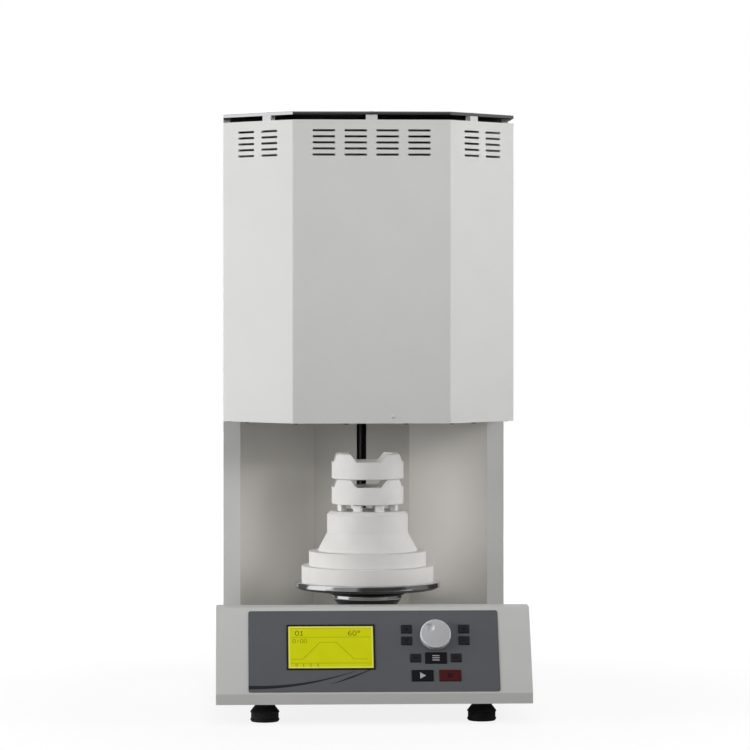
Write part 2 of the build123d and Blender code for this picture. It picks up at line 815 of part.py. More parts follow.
# ---------------------------------------------------------------- head casing and lid
facet_middle = ((facet_half + head_half) / 2, (head_front + facet_back) / 2)
vent_middle_z = casing_top - vent_top_margin - (vent_rows - 1) * vent_row_pitch / 2
with BuildPart() as head_casing:
    extrude(polygon(head_outline(0, column_front), Plane.XY.offset(head_underside)), amount=head_height)
    corners = head_casing.edges().filter_by(Axis.Z).filter_by(lambda e: e.center().Y < column_front - sheet)
    fillet(corners, bend)
    inner = polygon(head_outline(sheet, column_front), Plane.XY.offset(head_underside + sheet))
    extrude(inner, amount=head_height - 2 * sheet, mode=Mode.SUBTRACT)
    mouth = polygon(head_outline(casing_flange, column_front), Plane.XY.offset(head_underside))
    extrude(mouth, amount=head_height, mode=Mode.SUBTRACT)
    with BuildSketch(Plane(origin=(0, head_front, vent_middle_z), x_dir=(1, 0, 0), z_dir=(0, -1, 0))):
        with GridLocations(vent_column_pitch, vent_row_pitch, front_vent_columns, vent_rows):
            Rectangle(vent_length, vent_height)
    extrude(amount=-2 * sheet, mode=Mode.SUBTRACT)
    for side in (-1, 1):
        facet = Plane(
            origin=(side * facet_middle[0], facet_middle[1], vent_middle_z),
            x_dir=(1, side, 0),
            z_dir=(side, -1, 0),
        )
        with BuildSketch(facet):
            with GridLocations(facet_vent_pitch, vent_row_pitch, facet_vent_columns, vent_rows):
                Rectangle(vent_length, vent_height)
        extrude(amount=-2 * sheet, mode=Mode.SUBTRACT)
head_casing.part.label = "head_casing"
export_step(head_casing.part, "parts/head_casing.step")

with BuildPart() as head_floor:
    inset = sheet + fit
    front = polygon(head_outline(inset, column_front - fit), Plane.XY.offset(floor_z))
    extrude(front, amount=floor_thickness)
    tail = [
        (-(post_inner - fit), column_front - 2 * fit),
        (post_inner - fit, column_front - 2 * fit),
        (post_inner - fit, hem_y + sheet),
        (recess_back_half + sheet, recess_back + sheet),
        (-(recess_back_half + sheet), recess_back + sheet),
        (-(post_inner - fit), hem_y + sheet),
    ]
    extrude(polygon(tail, Plane.XY.offset(floor_z)), amount=floor_thickness)
    with Locations((0, table_y, floor_z + floor_thickness)):
        Hole(radius=mouth_radius, depth=floor_thickness)
head_floor.part.label = "head_floor"
export_step(head_floor.part, "parts/head_floor.step")

with BuildPart() as top_lid:
    extrude(
        polygon(head_outline(0, rear_y), Plane.XY.offset(casing_top + lid_gap)), amount=lid_thickness
    )
    hollow = polygon(head_outline(lid_sheet, rear_y - lid_sheet), Plane.XY.offset(casing_top + lid_gap))
    extrude(hollow, amount=lid_thickness - lid_sheet, mode=Mode.SUBTRACT)
top_lid.part.label = "top_lid"
export_step(top_lid.part, "parts/top_lid.step")

# one spacer at the front, on each facet and on each side, and two at the rear
spacer_inset = lid_sheet + spacer_depth / 2
facet_run = spacer_share * facet_depth
diagonal = spacer_inset / sqrt(2)
spacer_places = [
    (0, head_front + spacer_inset, 0),
    (facet_half + facet_run - diagonal, head_front + facet_run + diagonal, 45),
    (-(facet_half + facet_run - diagonal), head_front + facet_run + diagonal, -45),
    (head_half - spacer_inset, (facet_back + column_front) / 2, 90),
    (-(head_half - spacer_inset), (facet_back + column_front) / 2, 90),
    (head_half / 2, column_back - spacer_inset, 0),
    (-head_half / 2, column_back - spacer_inset, 0),
]
with BuildPart() as lid_spacers:
    with BuildSketch(Plane.XY.offset(casing_top)):
        for x, y, turn in spacer_places:
            with Locations(Location((x, y, 0), (0, 0, turn))):
                Rectangle(spacer_length, spacer_depth)
    extrude(amount=lid_gap + lid_thickness - lid_sheet)
lid_spacers.part.label = "lid_spacers"
export_step(lid_spacers.part, "parts/lid_spacers.step")

# ---------------------------------------------------------------- chamber
# octagonal fibre blocks, stacked, with round bores
with BuildPart() as insulation_mouth:
    for low, high, radius in (
        (mouth_z, mouth_step_z, mouth_radius),
        (mouth_step_z, chamber_z, throat_radius),
    ):
        with BuildSketch(Plane.XY.offset(low)):
            with Locations((0, table_y)):
                RegularPolygon(insulation_radius, 8, major_radius=False, rotation=22.5)
                Circle(radius, mode=Mode.SUBTRACT)
        extrude(amount=high - low)
insulation_mouth.part.label = "insulation_mouth"
export_step(insulation_mouth.part, "parts/insulation_mouth.step")

with BuildPart() as insulation_chamber:
    with BuildSketch(Plane.XY.offset(chamber_z)):
        with Locations((0, table_y)):
            RegularPolygon(insulation_radius, 8, major_radius=False, rotation=22.5)
            Circle(chamber_radius, mode=Mode.SUBTRACT)
    extrude(amount=ceiling_z - chamber_z)
insulation_chamber.part.label = "insulation_chamber"
export_step(insulation_chamber.part, "parts/insulation_chamber.step")

probe_place = (
    probe_circle * cos(radians(probe_angle)),
    table_y + probe_circle * sin(radians(probe_angle)),
)
with BuildPart() as insulation_roof:
    with BuildSketch(Plane.XY.offset(ceiling_z)):
        with Locations((0, table_y)):
            RegularPolygon(insulation_radius, 8, major_radius=False, rotation=22.5)
            # a slot for each element's two cold ends, covered by its holder
            with PolarLocations(element_circle, element_count):
                Rectangle(
                    2 * (cold_radius + fit),
                    2 * (element_half_span + cold_radius + fit),
                    mode=Mode.SUBTRACT,
                )
        with Locations(probe_place):
            Circle(probe_radius + fit, mode=Mode.SUBTRACT)
    extrude(amount=roof_thickness)
insulation_roof.part.label = "insulation_roof"
export_step(insulation_roof.part, "parts/insulation_roof.step")

bend_z = chamber_z + element_rise + element_bend
cold_z = ceiling_z - cold_reach
cold_top = roof_z + cold_stand
with BuildPart() as element:
    with BuildLine():
        Polyline(
            (0, -element_half_span, cold_z),
            (0, -element_half_span, bend_z),
            (0, -element_half_span + element_bend, bend_z - element_bend),
            (0, element_half_span - element_bend, bend_z - element_bend),
            (0, element_half_span, bend_z),
            (0, element_half_span, cold_z),
        )
    with BuildSketch(Plane(origin=(0, -element_half_span, cold_z), z_dir=(0, 0, -1))):
        Circle(hot_radius)
    sweep(transition=Transition.RIGHT)
    with BuildSketch(Plane.XY.offset(cold_z)):
        with Locations((0, -element_half_span), (0, element_half_span)):
            Circle(cold_radius)
    extrude(amount=cold_top - cold_z)
with BuildPart() as heating_elements:
    with Locations((0, table_y)):
        with PolarLocations(element_circle, element_count):
            add(element.part)
heating_elements.part.label = "heating_elements"
export_step(heating_elements.part, "parts/heating_elements.step")

grip_radius = cold_radius + running_fit
with BuildPart() as element_holders:
    with BuildSketch(Plane.XY.offset(roof_z)):
        with Locations((0, table_y)):
            with PolarLocations(element_circle, element_count):
                Rectangle(holder_width, 2 * element_half_span + holder_width)
                # open slots that grip the cold ends
                with Locations((-grip_radius, -element_half_span), (-grip_radius, element_half_span)):
                    Rectangle(
                        holder_width,
                        2 * grip_radius,
                        align=(Align.MIN, Align.CENTER),
                        mode=Mode.SUBTRACT,
                    )
    extrude(amount=holder_height)
element_holders.part.label = "element_holders"
export_step(element_holders.part, "parts/element_holders.step")

with BuildPart() as thermocouple:
    with BuildSketch(Plane.XY.offset(ceiling_z - probe_reach)):
        with Locations(probe_place):
            Circle(probe_radius)
    extrude(amount=roof_z + probe_reach - ceiling_z)
    with BuildSketch(Plane.XY.offset(roof_z)):
        with Locations(probe_place):
            Circle(probe_head_radius)
    extrude(amount=probe_head_height)
thermocouple.part.label = "thermocouple"
export_step(thermocouple.part, "parts/thermocouple.step")

# ---------------------------------------------------------------- lift table and plug
with BuildPart() as lift_plate:
    with BuildSketch(Plane.XY.offset(table_height)):
        with Locations((0, table_y)):
            Circle(plate_radius)
    extrude(amount=-plate_thickness)
    chamfer(lift_plate.faces().sort_by(Axis.Z)[0].edges(), plate_edge)
    chamfer(lift_plate.faces().sort_by(Axis.Z)[-1].edges(), plate_edge / 2)
lift_plate.part.label = "lift_plate"
export_step(lift_plate.part, "parts/lift_plate.step")

collar_profile = [
    (0, collar_z),
    (collar_foot_radius, collar_z),
    (collar_radius, collar_z + collar_height),
    (0, collar_z + collar_height),
]
with BuildPart() as plate_collar:
    revolve(polygon(collar_profile, table_section), axis=table_axis)
plate_collar.part.label = "plate_collar"
export_step(plate_collar.part, "parts/plate_collar.step")

hub_profile = [
    (0, hub_z),
    (hub_foot_radius, hub_z),
    (collar_foot_radius - collar_ledge, collar_z),
    (0, collar_z),
]
with BuildPart() as table_hub:
    revolve(polygon(hub_profile, table_section), axis=table_axis)
    # slot that the arm's end lies in
    with BuildSketch(Plane.XY.offset(hub_z)):
        with Locations((0, table_y - arm_hub_reach)):
            Rectangle(
                arm_thickness + 2 * running_fit,
                arm_hub_reach + collar_radius,
                align=(Align.CENTER, Align.MIN),
            )
    extrude(amount=collar_z - hub_z, mode=Mode.SUBTRACT)
table_hub.part.label = "table_hub"
export_step(table_hub.part, "parts/table_hub.step")

with BuildPart() as plug_base:
    with BuildSketch(Plane.XY.offset(table_height)):
        with Locations((0, table_y)):
            Circle(plug_base_radius)
    extrude(amount=plug_base_height)
plug_base.part.label = "plug_base"
export_step(plug_base.part, "parts/plug_base.step")

with BuildPart() as plug_step:
    with BuildSketch(Plane.XY.offset(plug_step_z)):
        with Locations((0, table_y)):
            Circle(plug_step_radius)
    extrude(amount=plug_step_height)
plug_step.part.label = "plug_step"
export_step(plug_step.part, "parts/plug_step.step")

plug_profile = [
    (0, plug_cone_z),
    (plug_foot_radius, plug_cone_z),
    (plug_top_radius, plug_neck_z),
    (plug_top_radius, plug_top - plug_chamfer),
    (plug_top_radius - plug_chamfer, plug_top),
    (0, plug_top),
]
with BuildPart() as plug_body:
    revolve(polygon(plug_profile, table_section), axis=table_axis)
plug_body.part.label = "plug_body"
export_step(plug_body.part, "parts/plug_body.step")

with BuildPart() as support_pegs:
    with BuildSketch(Plane.XY.offset(plug_top)):
        with Locations((0, table_y)):
            with PolarLocations(peg_circle, peg_count, start_angle=180 / peg_count):
                Rectangle(peg_depth, peg_width)
    extrude(amount=peg_height)
support_pegs.part.label = "support_pegs"
export_step(support_pegs.part, "parts/support_pegs.step")

bowls = {"sinter_bowl_lower": lower_bowl_z, "sinter_bowl_upper": upper_bowl_z}
for name, bowl_z in bowls.items():
    bowl_top = bowl_z + bowl_height
    notch = [
        (-notch_foot_width / 2, bowl_top - notch_depth),
        (notch_foot_width / 2, bowl_top - notch_depth),
        (notch_top_width / 2, bowl_top),
        (-notch_top_width / 2, bowl_top),
    ]
    with BuildPart() as bowl:
        with BuildSketch(Plane.XY.offset(bowl_z)):
            with Locations((0, table_y)):
                Circle(bowl_radius)
        extrude(amount=bowl_height)
        with BuildSketch(Plane.XY.offset(bowl_z + bowl_wall)):
            with Locations((0, table_y)):
                Circle(bowl_radius - bowl_wall)
        extrude(amount=bowl_height, mode=Mode.SUBTRACT)
        # a notch on each of the four sides lets the bowls be gripped and aired
        extrude(polygon(notch, table_section), amount=bowl_radius, both=True, mode=Mode.SUBTRACT)
        sideways = [(table_y + x, z) for x, z in notch]
        extrude(polygon(sideways, Plane.YZ), amount=bowl_radius, both=True, mode=Mode.SUBTRACT)
    bowl.part.label = name
    export_step(bowl.part, f"parts/{name}.step")

# ---------------------------------------------------------------- lift drive
arm_profile = [
    (table_y - arm_hub_reach, arm_bottom),
    (carriage_front, arm_bottom),
    (carriage_front, arm_top),
    (recess_back, arm_top),
    (table_y + collar_radius, collar_z),
    (table_y - arm_hub_reach, collar_z),
]
with BuildPart() as lift_arm:
    extrude(polygon(arm_profile, Plane.YZ), amount=arm_thickness / 2, both=True)
    with BuildSketch(Plane.XZ.offset(-carriage_front)):
        with Locations((0, (arm_bottom + arm_top) / 2)):
            Rectangle(arm_foot_width, arm_top - arm_bottom)
    extrude(amount=arm_foot_thickness)
lift_arm.part.label = "lift_arm"
export_step(lift_arm.part, "parts/lift_arm.step")

boss_radius = bushing_radius + boss_wall
nut_boss_radius = nut_radius + boss_wall
with BuildPart() as lift_carriage:
    with BuildSketch(Plane.XZ.offset(-carriage_front)):
        with Locations((0, (arm_bottom + boss_z + boss_height) / 2)):
            Rectangle(carriage_width, boss_z + boss_height - arm_bottom)
    extrude(amount=-carriage_thickness)
    fillet(lift_carriage.edges().filter_by(Axis.Y), 2 * bend)
    with BuildSketch(Plane.XY.offset(boss_z)):
        for x, radius in ((-rod_reach, boss_radius), (0, nut_boss_radius), (rod_reach, boss_radius)):
            with Locations((x, carriage_front + carriage_thickness)):
                Rectangle(2 * radius, drive_offset + radius, align=(Align.CENTER, Align.MIN))
    extrude(amount=boss_height)
    with BuildSketch(Plane.XY.offset(boss_z)):
        with Locations((-rod_reach, drive_y), (rod_reach, drive_y)):
            Circle(bushing_radius + running_fit)
        with Locations((0, drive_y)):
            Circle(nut_radius + running_fit)
    extrude(amount=boss_height, mode=Mode.SUBTRACT)
lift_carriage.part.label = "lift_carriage"
export_step(lift_carriage.part, "parts/lift_carriage.step")

with BuildPart() as linear_bushings:
    with BuildSketch(Plane.XY.offset(boss_z + (boss_height - bushing_length) / 2)):
        with Locations((-rod_reach, drive_y), (rod_reach, drive_y)):
            Circle(bushing_radius)
            Circle(rod_radius + running_fit, mode=Mode.SUBTRACT)
    extrude(amount=bushing_length)
linear_bushings.part.label = "linear_bushings"
export_step(linear_bushings.part, "parts/linear_bushings.step")

nut_z = boss_z + boss_height
with BuildPart() as lift_nut:
    with BuildSketch(Plane.XY.offset(nut_z)):
        with Locations((0, drive_y)):
            Rectangle(nut_flange_width, nut_flange_width)
    extrude(amount=nut_flange)
    with BuildSketch(Plane.XY.offset(nut_z)):
        with Locations((0, drive_y)):
            Circle(nut_radius)
    extrude(amount=-(nut_length - nut_flange))
    with Locations((0, drive_y, nut_z + nut_flange)):
        Hole(radius=screw_radius + running_fit)
lift_nut.part.label = "lift_nut"
export_step(lift_nut.part, "parts/lift_nut.step")

upper_support_top = upper_support_z + support_height
with BuildPart() as guide_rods:
    with BuildSketch(Plane.XY.offset(deck_top)):
        with Locations((-rod_reach, drive_y), (rod_reach, drive_y)):
            Circle(rod_radius)
    extrude(amount=upper_support_top - deck_top)
guide_rods.part.label = "guide_rods"
export_step(guide_rods.part, "parts/guide_rods.step")

with BuildPart() as rod_supports:
    # lower block on the deck, upper bar from side to side of the column
    supports = (
        (deck_top, lower_support_width),
        (upper_support_z, 2 * (head_half - sheet)),
    )
    for low, length in supports:
        with BuildSketch(Plane.XY.offset(low)):
            with Locations((0, drive_y)):
                Rectangle(length, support_depth)
            with Locations((-rod_reach, drive_y), (rod_reach, drive_y)):
                Circle(rod_radius + running_fit, mode=Mode.SUBTRACT)
            with Locations((0, drive_y)):
                Circle(journal_radius + sheet, mode=Mode.SUBTRACT)
        extrude(amount=support_height)
    for low in (lower_support_top - bearing_width, upper_support_z):
        with BuildSketch(Plane.XY.offset(low)):
            with Locations((0, drive_y)):
                Circle(bearing_radius + running_fit)
        extrude(amount=bearing_width, mode=Mode.SUBTRACT)
rod_supports.part.label = "rod_supports"
export_step(rod_supports.part, "parts/rod_supports.step")

with BuildPart() as screw_bearings:
    for low in (lower_support_top - bearing_width, upper_support_z):
        with BuildSketch(Plane.XY.offset(low)):
            with Locations((0, drive_y)):
                Circle(bearing_radius)
                Circle(journal_radius + running_fit, mode=Mode.SUBTRACT)
        extrude(amount=bearing_width)
screw_bearings.part.label = "screw_bearings"
export_step(screw_bearings.part, "parts/screw_bearings.step")

coupling_z = shaft_top - coupling_length / 2
screw_foot = shaft_top + fit
screw_profile = [
    (0, screw_foot),
    (journal_radius, screw_foot),
    (journal_radius, lower_support_top + fit),
    (screw_radius, lower_support_top + fit),
    (screw_radius, upper_support_z - fit),
    (journal_radius, upper_support_z - fit),
    (journal_radius, upper_support_top),
    (0, upper_support_top),
]
with BuildPart() as lead_screw:
    revolve(polygon(screw_profile, drive_section), axis=drive_axis)
lead_screw.part.label = "lead_screw"
export_step(lead_screw.part, "parts/lead_screw.step")

with BuildPart() as shaft_coupling:
    with BuildSketch(Plane.XY.offset(coupling_z)):
        with Locations((0, drive_y)):
            Circle(coupling_radius)
            Circle(journal_radius + running_fit, mode=Mode.SUBTRACT)
    extrude(amount=coupling_length)
shaft_coupling.part.label = "shaft_coupling"
export_step(shaft_coupling.part, "parts/shaft_coupling.step")

with BuildPart() as motor_shaft:
    with BuildSketch(Plane.XY.offset(motor_z + motor_length / 2)):
        with Locations((0, drive_y)):
            Circle(journal_radius)
    extrude(amount=shaft_top - motor_z - motor_length / 2)
motor_shaft.part.label = "motor_shaft"
export_step(motor_shaft.part, "parts/motor_shaft.step")

with BuildPart() as lift_motor:
    with BuildSketch(Plane.XY.offset(motor_z)):
        with Locations((0, drive_y)):
            Rectangle(motor_size, motor_size)
    extrude(amount=motor_length)
    chamfer(lift_motor.edges().filter_by(Axis.Z), motor_corner)
    with BuildSketch(Plane.XY.offset(motor_top)):
        with Locations((0, drive_y)):
            Circle(pilot_radius)
    extrude(amount=pilot_height)
    with BuildSketch(Plane.XY.offset(motor_z + motor_length / 2 - fit)):
        with Locations((0, drive_y)):
            Circle(journal_radius + running_fit)
    extrude(amount=motor_length, mode=Mode.SUBTRACT)
lift_motor.part.label = "lift_motor"
export_step(lift_motor.part, "parts/lift_motor.step")

bracket_half = motor_size / 2 + bracket_margin
with BuildPart() as motor_bracket:
    # a bridge that stands on the tray and carries the motor under its top
    with BuildSketch(Plane.XZ.offset(-drive_y)):
        with Locations((0, tray_top)):
            Rectangle(
                2 * bracket_half, motor_top - tray_top + bracket_thickness, align=(Align.CENTER, Align.MIN)
            )
            Rectangle(
                2 * (bracket_half - bracket_thickness),
                motor_top - tray_top,
                align=(Align.CENTER, Align.MIN),
                mode=Mode.SUBTRACT,
            )
    extrude(amount=motor_size / 2, both=True)
    with BuildSketch(Plane.XY.offset(motor_top)):
        with Locations((0, drive_y)):
            Circle(pilot_radius + running_fit)
    extrude(amount=bracket_thickness, mode=Mode.SUBTRACT)
motor_bracket.part.label = "motor_bracket"
export_step(motor_bracket.part, "parts/motor_bracket.step")

print(f"travel {travel:.1f}, height {lid_top:.1f}, stack top {stack_top:.1f}, roof {roof_z:.1f}")
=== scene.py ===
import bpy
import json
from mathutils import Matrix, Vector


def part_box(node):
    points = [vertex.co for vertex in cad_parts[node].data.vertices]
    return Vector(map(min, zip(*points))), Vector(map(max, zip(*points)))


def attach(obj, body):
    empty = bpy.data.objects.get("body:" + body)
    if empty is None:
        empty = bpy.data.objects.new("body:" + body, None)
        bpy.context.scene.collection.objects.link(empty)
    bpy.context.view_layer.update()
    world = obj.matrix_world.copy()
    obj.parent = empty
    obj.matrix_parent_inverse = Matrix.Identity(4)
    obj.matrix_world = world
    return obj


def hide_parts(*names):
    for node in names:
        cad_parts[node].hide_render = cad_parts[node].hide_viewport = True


bl_info = {
    "name": "Sintering Furnace",
    "version": (1, 0, 0),
    "blender": (4, 5, 0),
    "location": "3D View > Sidebar > Furnace",
    "description": "Finishes and fine pieces of a bottom-loading sintering furnace",
    "category": "Object",
}

import json
from math import atan2, cos, hypot, pi, radians, sin, tan

import bmesh
import bpy
from bpy.props import FloatProperty, FloatVectorProperty, PointerProperty
from mathutils import Matrix, Vector
from mathutils.geometry import interpolate_bezier

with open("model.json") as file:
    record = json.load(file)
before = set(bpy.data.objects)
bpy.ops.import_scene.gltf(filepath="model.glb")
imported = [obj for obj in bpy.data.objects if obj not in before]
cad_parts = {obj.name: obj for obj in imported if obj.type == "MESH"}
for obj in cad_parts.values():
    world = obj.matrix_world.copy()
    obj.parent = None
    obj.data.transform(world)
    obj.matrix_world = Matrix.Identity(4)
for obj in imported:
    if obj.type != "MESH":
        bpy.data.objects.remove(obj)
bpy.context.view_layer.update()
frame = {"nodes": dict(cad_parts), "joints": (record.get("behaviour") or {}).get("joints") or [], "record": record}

MM = 0.001
TURN_STEPS = 128  # faces round a large turned piece
SMALL_TURN_STEPS = 48
SMOOTH_ANGLE = radians(32)  # edges sharper than this stay crisp


# ---------------------------------------------------------------- sizes and colours
def length(name, description, default):
    """A length that a user can change, in metres."""
    return FloatProperty(name=name, description=description, default=default, min=0.0, unit="LENGTH")


def colour(name, description, default):
    """A linear colour that a user can change."""
    return FloatVectorProperty(
        name=name, description=description, default=default, size=3, subtype="COLOR", min=0.0, max=1.0
    )


class FurnaceSizes(bpy.types.PropertyGroup):
    """Sizes of the fine pieces, beyond what the frame gives."""

    # painted shade: the slope under the plate's rim is painted black
    rim_slope: length("Plate slope", "Height of the black slope under the lift plate's rim", 3.2 * MM)
    rim_top: length("Plate top", "Rounding over the lift plate's rim", 1.6 * MM)
    collar_radius: length("Collar", "Radius of the bright ring under the plate", 48.3 * MM)
    hub_radius: length("Hub", "Upper radius of the black hub", 45.5 * MM)
    fibre_softness: length("Fibre edge", "Rounding of the fibre plug's edges", 1.3 * MM)
    bowl_wall: length("Bowl wall", "Thickness of the bowls", 7 * MM)
    notch_depth: length("Notch depth", "Depth of the bowls' notches", 10 * MM)
    notch_top: length("Notch top", "Width of a notch at the rim", 47.5 * MM)
    notch_foot: length("Notch foot", "Width of a notch at its foot", 32 * MM)
    knob_rim: length("Knob rim", "Rounding of the knob's rim", 1.4 * MM)
    dimple_radius: length("Dimple", "Radius of the knob's finger dimple", 6 * MM)
    dimple_depth: length("Dimple depth", "Depth of the finger dimple", 2 * MM)
    dimple_offset: length("Dimple place", "Finger dimple from the knob's axis", 10.6 * MM)
    knob_height: length("Knob height", "Height of the knob over the panel", 10 * MM)
    key_proud: length("Key height", "Keys over the panel's film", 1 * MM)
    print_thickness: length("Print", "Thickness of printed marks", 0.05 * MM)
    facet_depth: length("Facet depth", "How far the head's slanted facets go back", 89 * MM)
    facet_screw: length("Facet screw", "How far back the lid's screw over a facet is", 33.8 * MM)
    lid_hem: length("Lid hem", "Thickness of the lid's sheet", 1.2 * MM)
    lid_softness: length("Lid edge", "Rounding of the lid's upper edge", 1.2 * MM)
    screw_radius: length("Screw head", "Radius of the case screws' heads", 3.6 * MM)
    screw_height: length("Screw height", "Height of the case screws' heads", 1.9 * MM)


class FurnaceColours(bpy.types.PropertyGroup):
    """Colours of the finishes, linear."""

    coat: colour("Powder coat", "Head, column and base", (0.705, 0.705, 0.69))
    recess: colour("Recess paint", "Bent panels behind the table", (0.67, 0.65, 0.61))
    film: colour("Panel film", "Film on the control panel", (0.132, 0.137, 0.148))
    stripe: colour("Stripe", "Printed stripes on the film", (0.018, 0.018, 0.026))
    screen: colour("Screen", "Backlit display", (0.60, 0.62, 0.0))
    screen_edge: colour("Display edge", "Pale edge of the display", (0.74, 0.77, 0.13))
    ink: colour("Display marks", "Dark marks on the display", (0.15, 0.155, 0.0))
    ink_faint: colour("Faint display marks", "Curve and rules on the display", (0.31, 0.32, 0.0))
    key: colour("Keys", "Small keys", (0.016, 0.016, 0.021))
    key_black: colour("Wide keys", "Program and start keys", (0.003, 0.003, 0.006))
    key_red: colour("Stop key", "Stop key", (0.085, 0.003, 0.006))
    mark: colour("Key marks", "Light marks on the wide keys", (0.52, 0.52, 0.55))
    faint_mark: colour("Faint marks", "Marks on the small keys", (0.003, 0.003, 0.005))
    knob: colour("Knob", "Satin metal of the knob", (0.80, 0.80, 0.82))
    # painted highlight: a lighter copy of the knob's metal for its rim
    knob_edge: colour("Knob edge", "Bright turned edge of the knob", (0.93, 0.93, 0.94))
    lid: colour("Lid", "Polished sheet of the lid", (0.74, 0.74, 0.75))
    fibre: colour("Fibre", "Ceramic fibre plug and blocks", (0.80, 0.785, 0.765))
    bowl: colour("Bowls", "Unglazed alumina", (0.815, 0.805, 0.785))
    chrome: colour("Plate", "Polished lift plate", (0.70, 0.70, 0.705))
    black: colour("Black paint", "Hub and motor", (0.012, 0.012, 0.013))
    rubber: colour("Rubber", "Feet", (0.010, 0.010, 0.011))
    plastic: colour("Black plastic", "Sockets, fan and frames", (0.014, 0.014, 0.015))
    steel: colour("Steel", "Arm, rods, screw and screws", (0.42, 0.42, 0.43))
    aluminium: colour("Aluminium", "Carriage, supports and spacers", (0.66, 0.66, 0.67))
    board: colour("Circuit board", "Solder mask", (0.012, 0.095, 0.035))


# ---------------------------------------------------------------- materials
class Finish:
    """One procedural material, built in steps from Object coordinates."""

    def __init__(self, name, roughness, metallic=0.0):
        self.material = bpy.data.materials.new(name)
        self.material.use_nodes = True
        self.tree = self.material.node_tree
        self.shader = self.tree.nodes["Principled BSDF"]
        self.shader.inputs["Roughness"].default_value = roughness
        self.shader.inputs["Metallic"].default_value = metallic
        self.place = self.tree.nodes.new("ShaderNodeTexCoord").outputs["Object"]

    def fill(self, socket, value):
        """Joins a socket to an output, or sets its value."""
        if isinstance(value, bpy.types.NodeSocket):
            self.tree.links.new(value, socket)
        else:
            socket.default_value = value

    def node(self, kind, inputs, **settings):
        """Adds a node with its settings and inputs."""
        made = self.tree.nodes.new(kind)
        for key, value in settings.items():
            setattr(made, key, value)
        for key, value in inputs.items():
            self.fill(made.inputs[key], value)
        return made

    def stretched(self, x, y, z):
        """Coordinates scaled along each axis, so that a pattern is stretched."""
        mapping = self.node("ShaderNodeMapping", {"Vector": self.place, "Scale": (x, y, z)})
        return mapping.outputs["Vector"]

    def grain(self, size, detail=2.0, where=None):
        """Noise from 0 to 1 whose spots are about size across."""
        inputs = {"Vector": self.place if where is None else where, "Scale": 1 / size, "Detail": detail}
        noise = self.node("ShaderNodeTexNoise", inputs).outputs["Fac"]
        return self.spread(noise, 0.3, 0.7, 0.0, 1.0)

    def lines(self, pitch, direction, distortion=0.0):
        """Soft parallel lines, pitch apart."""
        inputs = {"Vector": self.place, "Scale": 2 * pi / (20 * pitch), "Distortion": distortion}
        return self.node("ShaderNodeTexWave", inputs, bands_direction=direction).outputs["Fac"]

    def spread(self, value, low, high, to_low, to_high):
        """A number carried from one range to another."""
        inputs = {"Value": value, "From Min": low, "From Max": high, "To Min": to_low, "To Max": to_high}
        return self.node("ShaderNodeMapRange", inputs).outputs["Result"]

    def axis(self, name):
        """One coordinate of the place."""
        return self.node("ShaderNodeSeparateXYZ", {"Vector": self.place}).outputs[name]

    def math(self, operation, first, second=0.0):
        """One sum on two numbers."""
        return self.node("ShaderNodeMath", {0: first, 1: second}, operation=operation).outputs["Value"]

    def mixed(self, factor, first, second):
        """A colour between two others."""
        made = self.node("ShaderNodeMix", {0: factor, 6: first, 7: second}, data_type="RGBA")
        return made.outputs[2]

    def paint(self, value):
        """Sets the base colour."""
        self.fill(self.shader.inputs["Base Color"], value)

    def mottled(self, rgb, share, size, detail=2.0):
        """A base colour that varies by a share of itself, in spots of about size."""
        darker = [channel * (1 - share) for channel in rgb] + [1.0]
        lighter = [min(channel * (1 + share), 1.0) for channel in rgb] + [1.0]
        shade = self.mixed(self.grain(size, detail), darker, lighter)
        self.paint(shade)
        return shade

    def rough(self, pattern, low, high):
        """Roughness that follows a pattern."""
        self.fill(self.shader.inputs["Roughness"], self.spread(pattern, 0.0, 1.0, low, high))

    def bump(self, height, depth, strength=1.0):
        """Adds relief of a depth, on top of what is there."""
        inputs = {"Height": height, "Distance": depth, "Strength": strength}
        normal = self.shader.inputs["Normal"]
        if normal.links:
            inputs["Normal"] = normal.links[0].from_socket
        self.fill(normal, self.node("ShaderNodeBump", inputs).outputs["Normal"])


def powder_coat(name, rgb, roughness=0.44):
    """Powder coat with its fine orange peel."""
    made = Finish(name, roughness)
    made.mottled(rgb, 0.012, 60 * MM, 3.0)
    made.rough(made.grain(7 * MM), roughness - 0.05, roughness + 0.05)
    made.bump(made.grain(1.3 * MM, 1.0), 0.02 * MM)
    made.shader.inputs["Specular IOR Level"].default_value = 0.4
    return made.material


def brushed(name, rgb, roughness, stretch):
    """Metal brushed along the axis where stretch is small."""
    made = Finish(name, roughness, 1.0)
    strokes = made.grain(0.9 * MM, 3.0, made.stretched(*stretch))
    dark = [channel * 0.86 for channel in rgb] + [1.0]
    made.paint(made.mixed(strokes, dark, [*rgb, 1.0]))
    made.rough(strokes, roughness - 0.07, roughness + 0.08)
    made.bump(strokes, 0.01 * MM, 0.6)
    return made.material


def polished(name, rgb, roughness=0.10):
    """Polished metal with faint cloudiness and fine scratches."""
    made = Finish(name, roughness, 1.0)
    made.mottled(rgb, 0.05, 30 * MM, 3.0)
    made.rough(made.grain(2.4 * MM, 4.0, made.stretched(1.0, 0.15, 1.0)), roughness - 0.03, roughness + 0.06)
    return made.material


def satin_metal(name, rgb, roughness=0.30, metallic=1.0):
    """Fine bead-blasted metal."""
    made = Finish(name, roughness, metallic)
    made.mottled(rgb, 0.05, 0.9 * MM)
    made.rough(made.grain(0.6 * MM), roughness - 0.04, roughness + 0.08)
    made.bump(made.grain(0.5 * MM), 0.02 * MM)
    return made.material


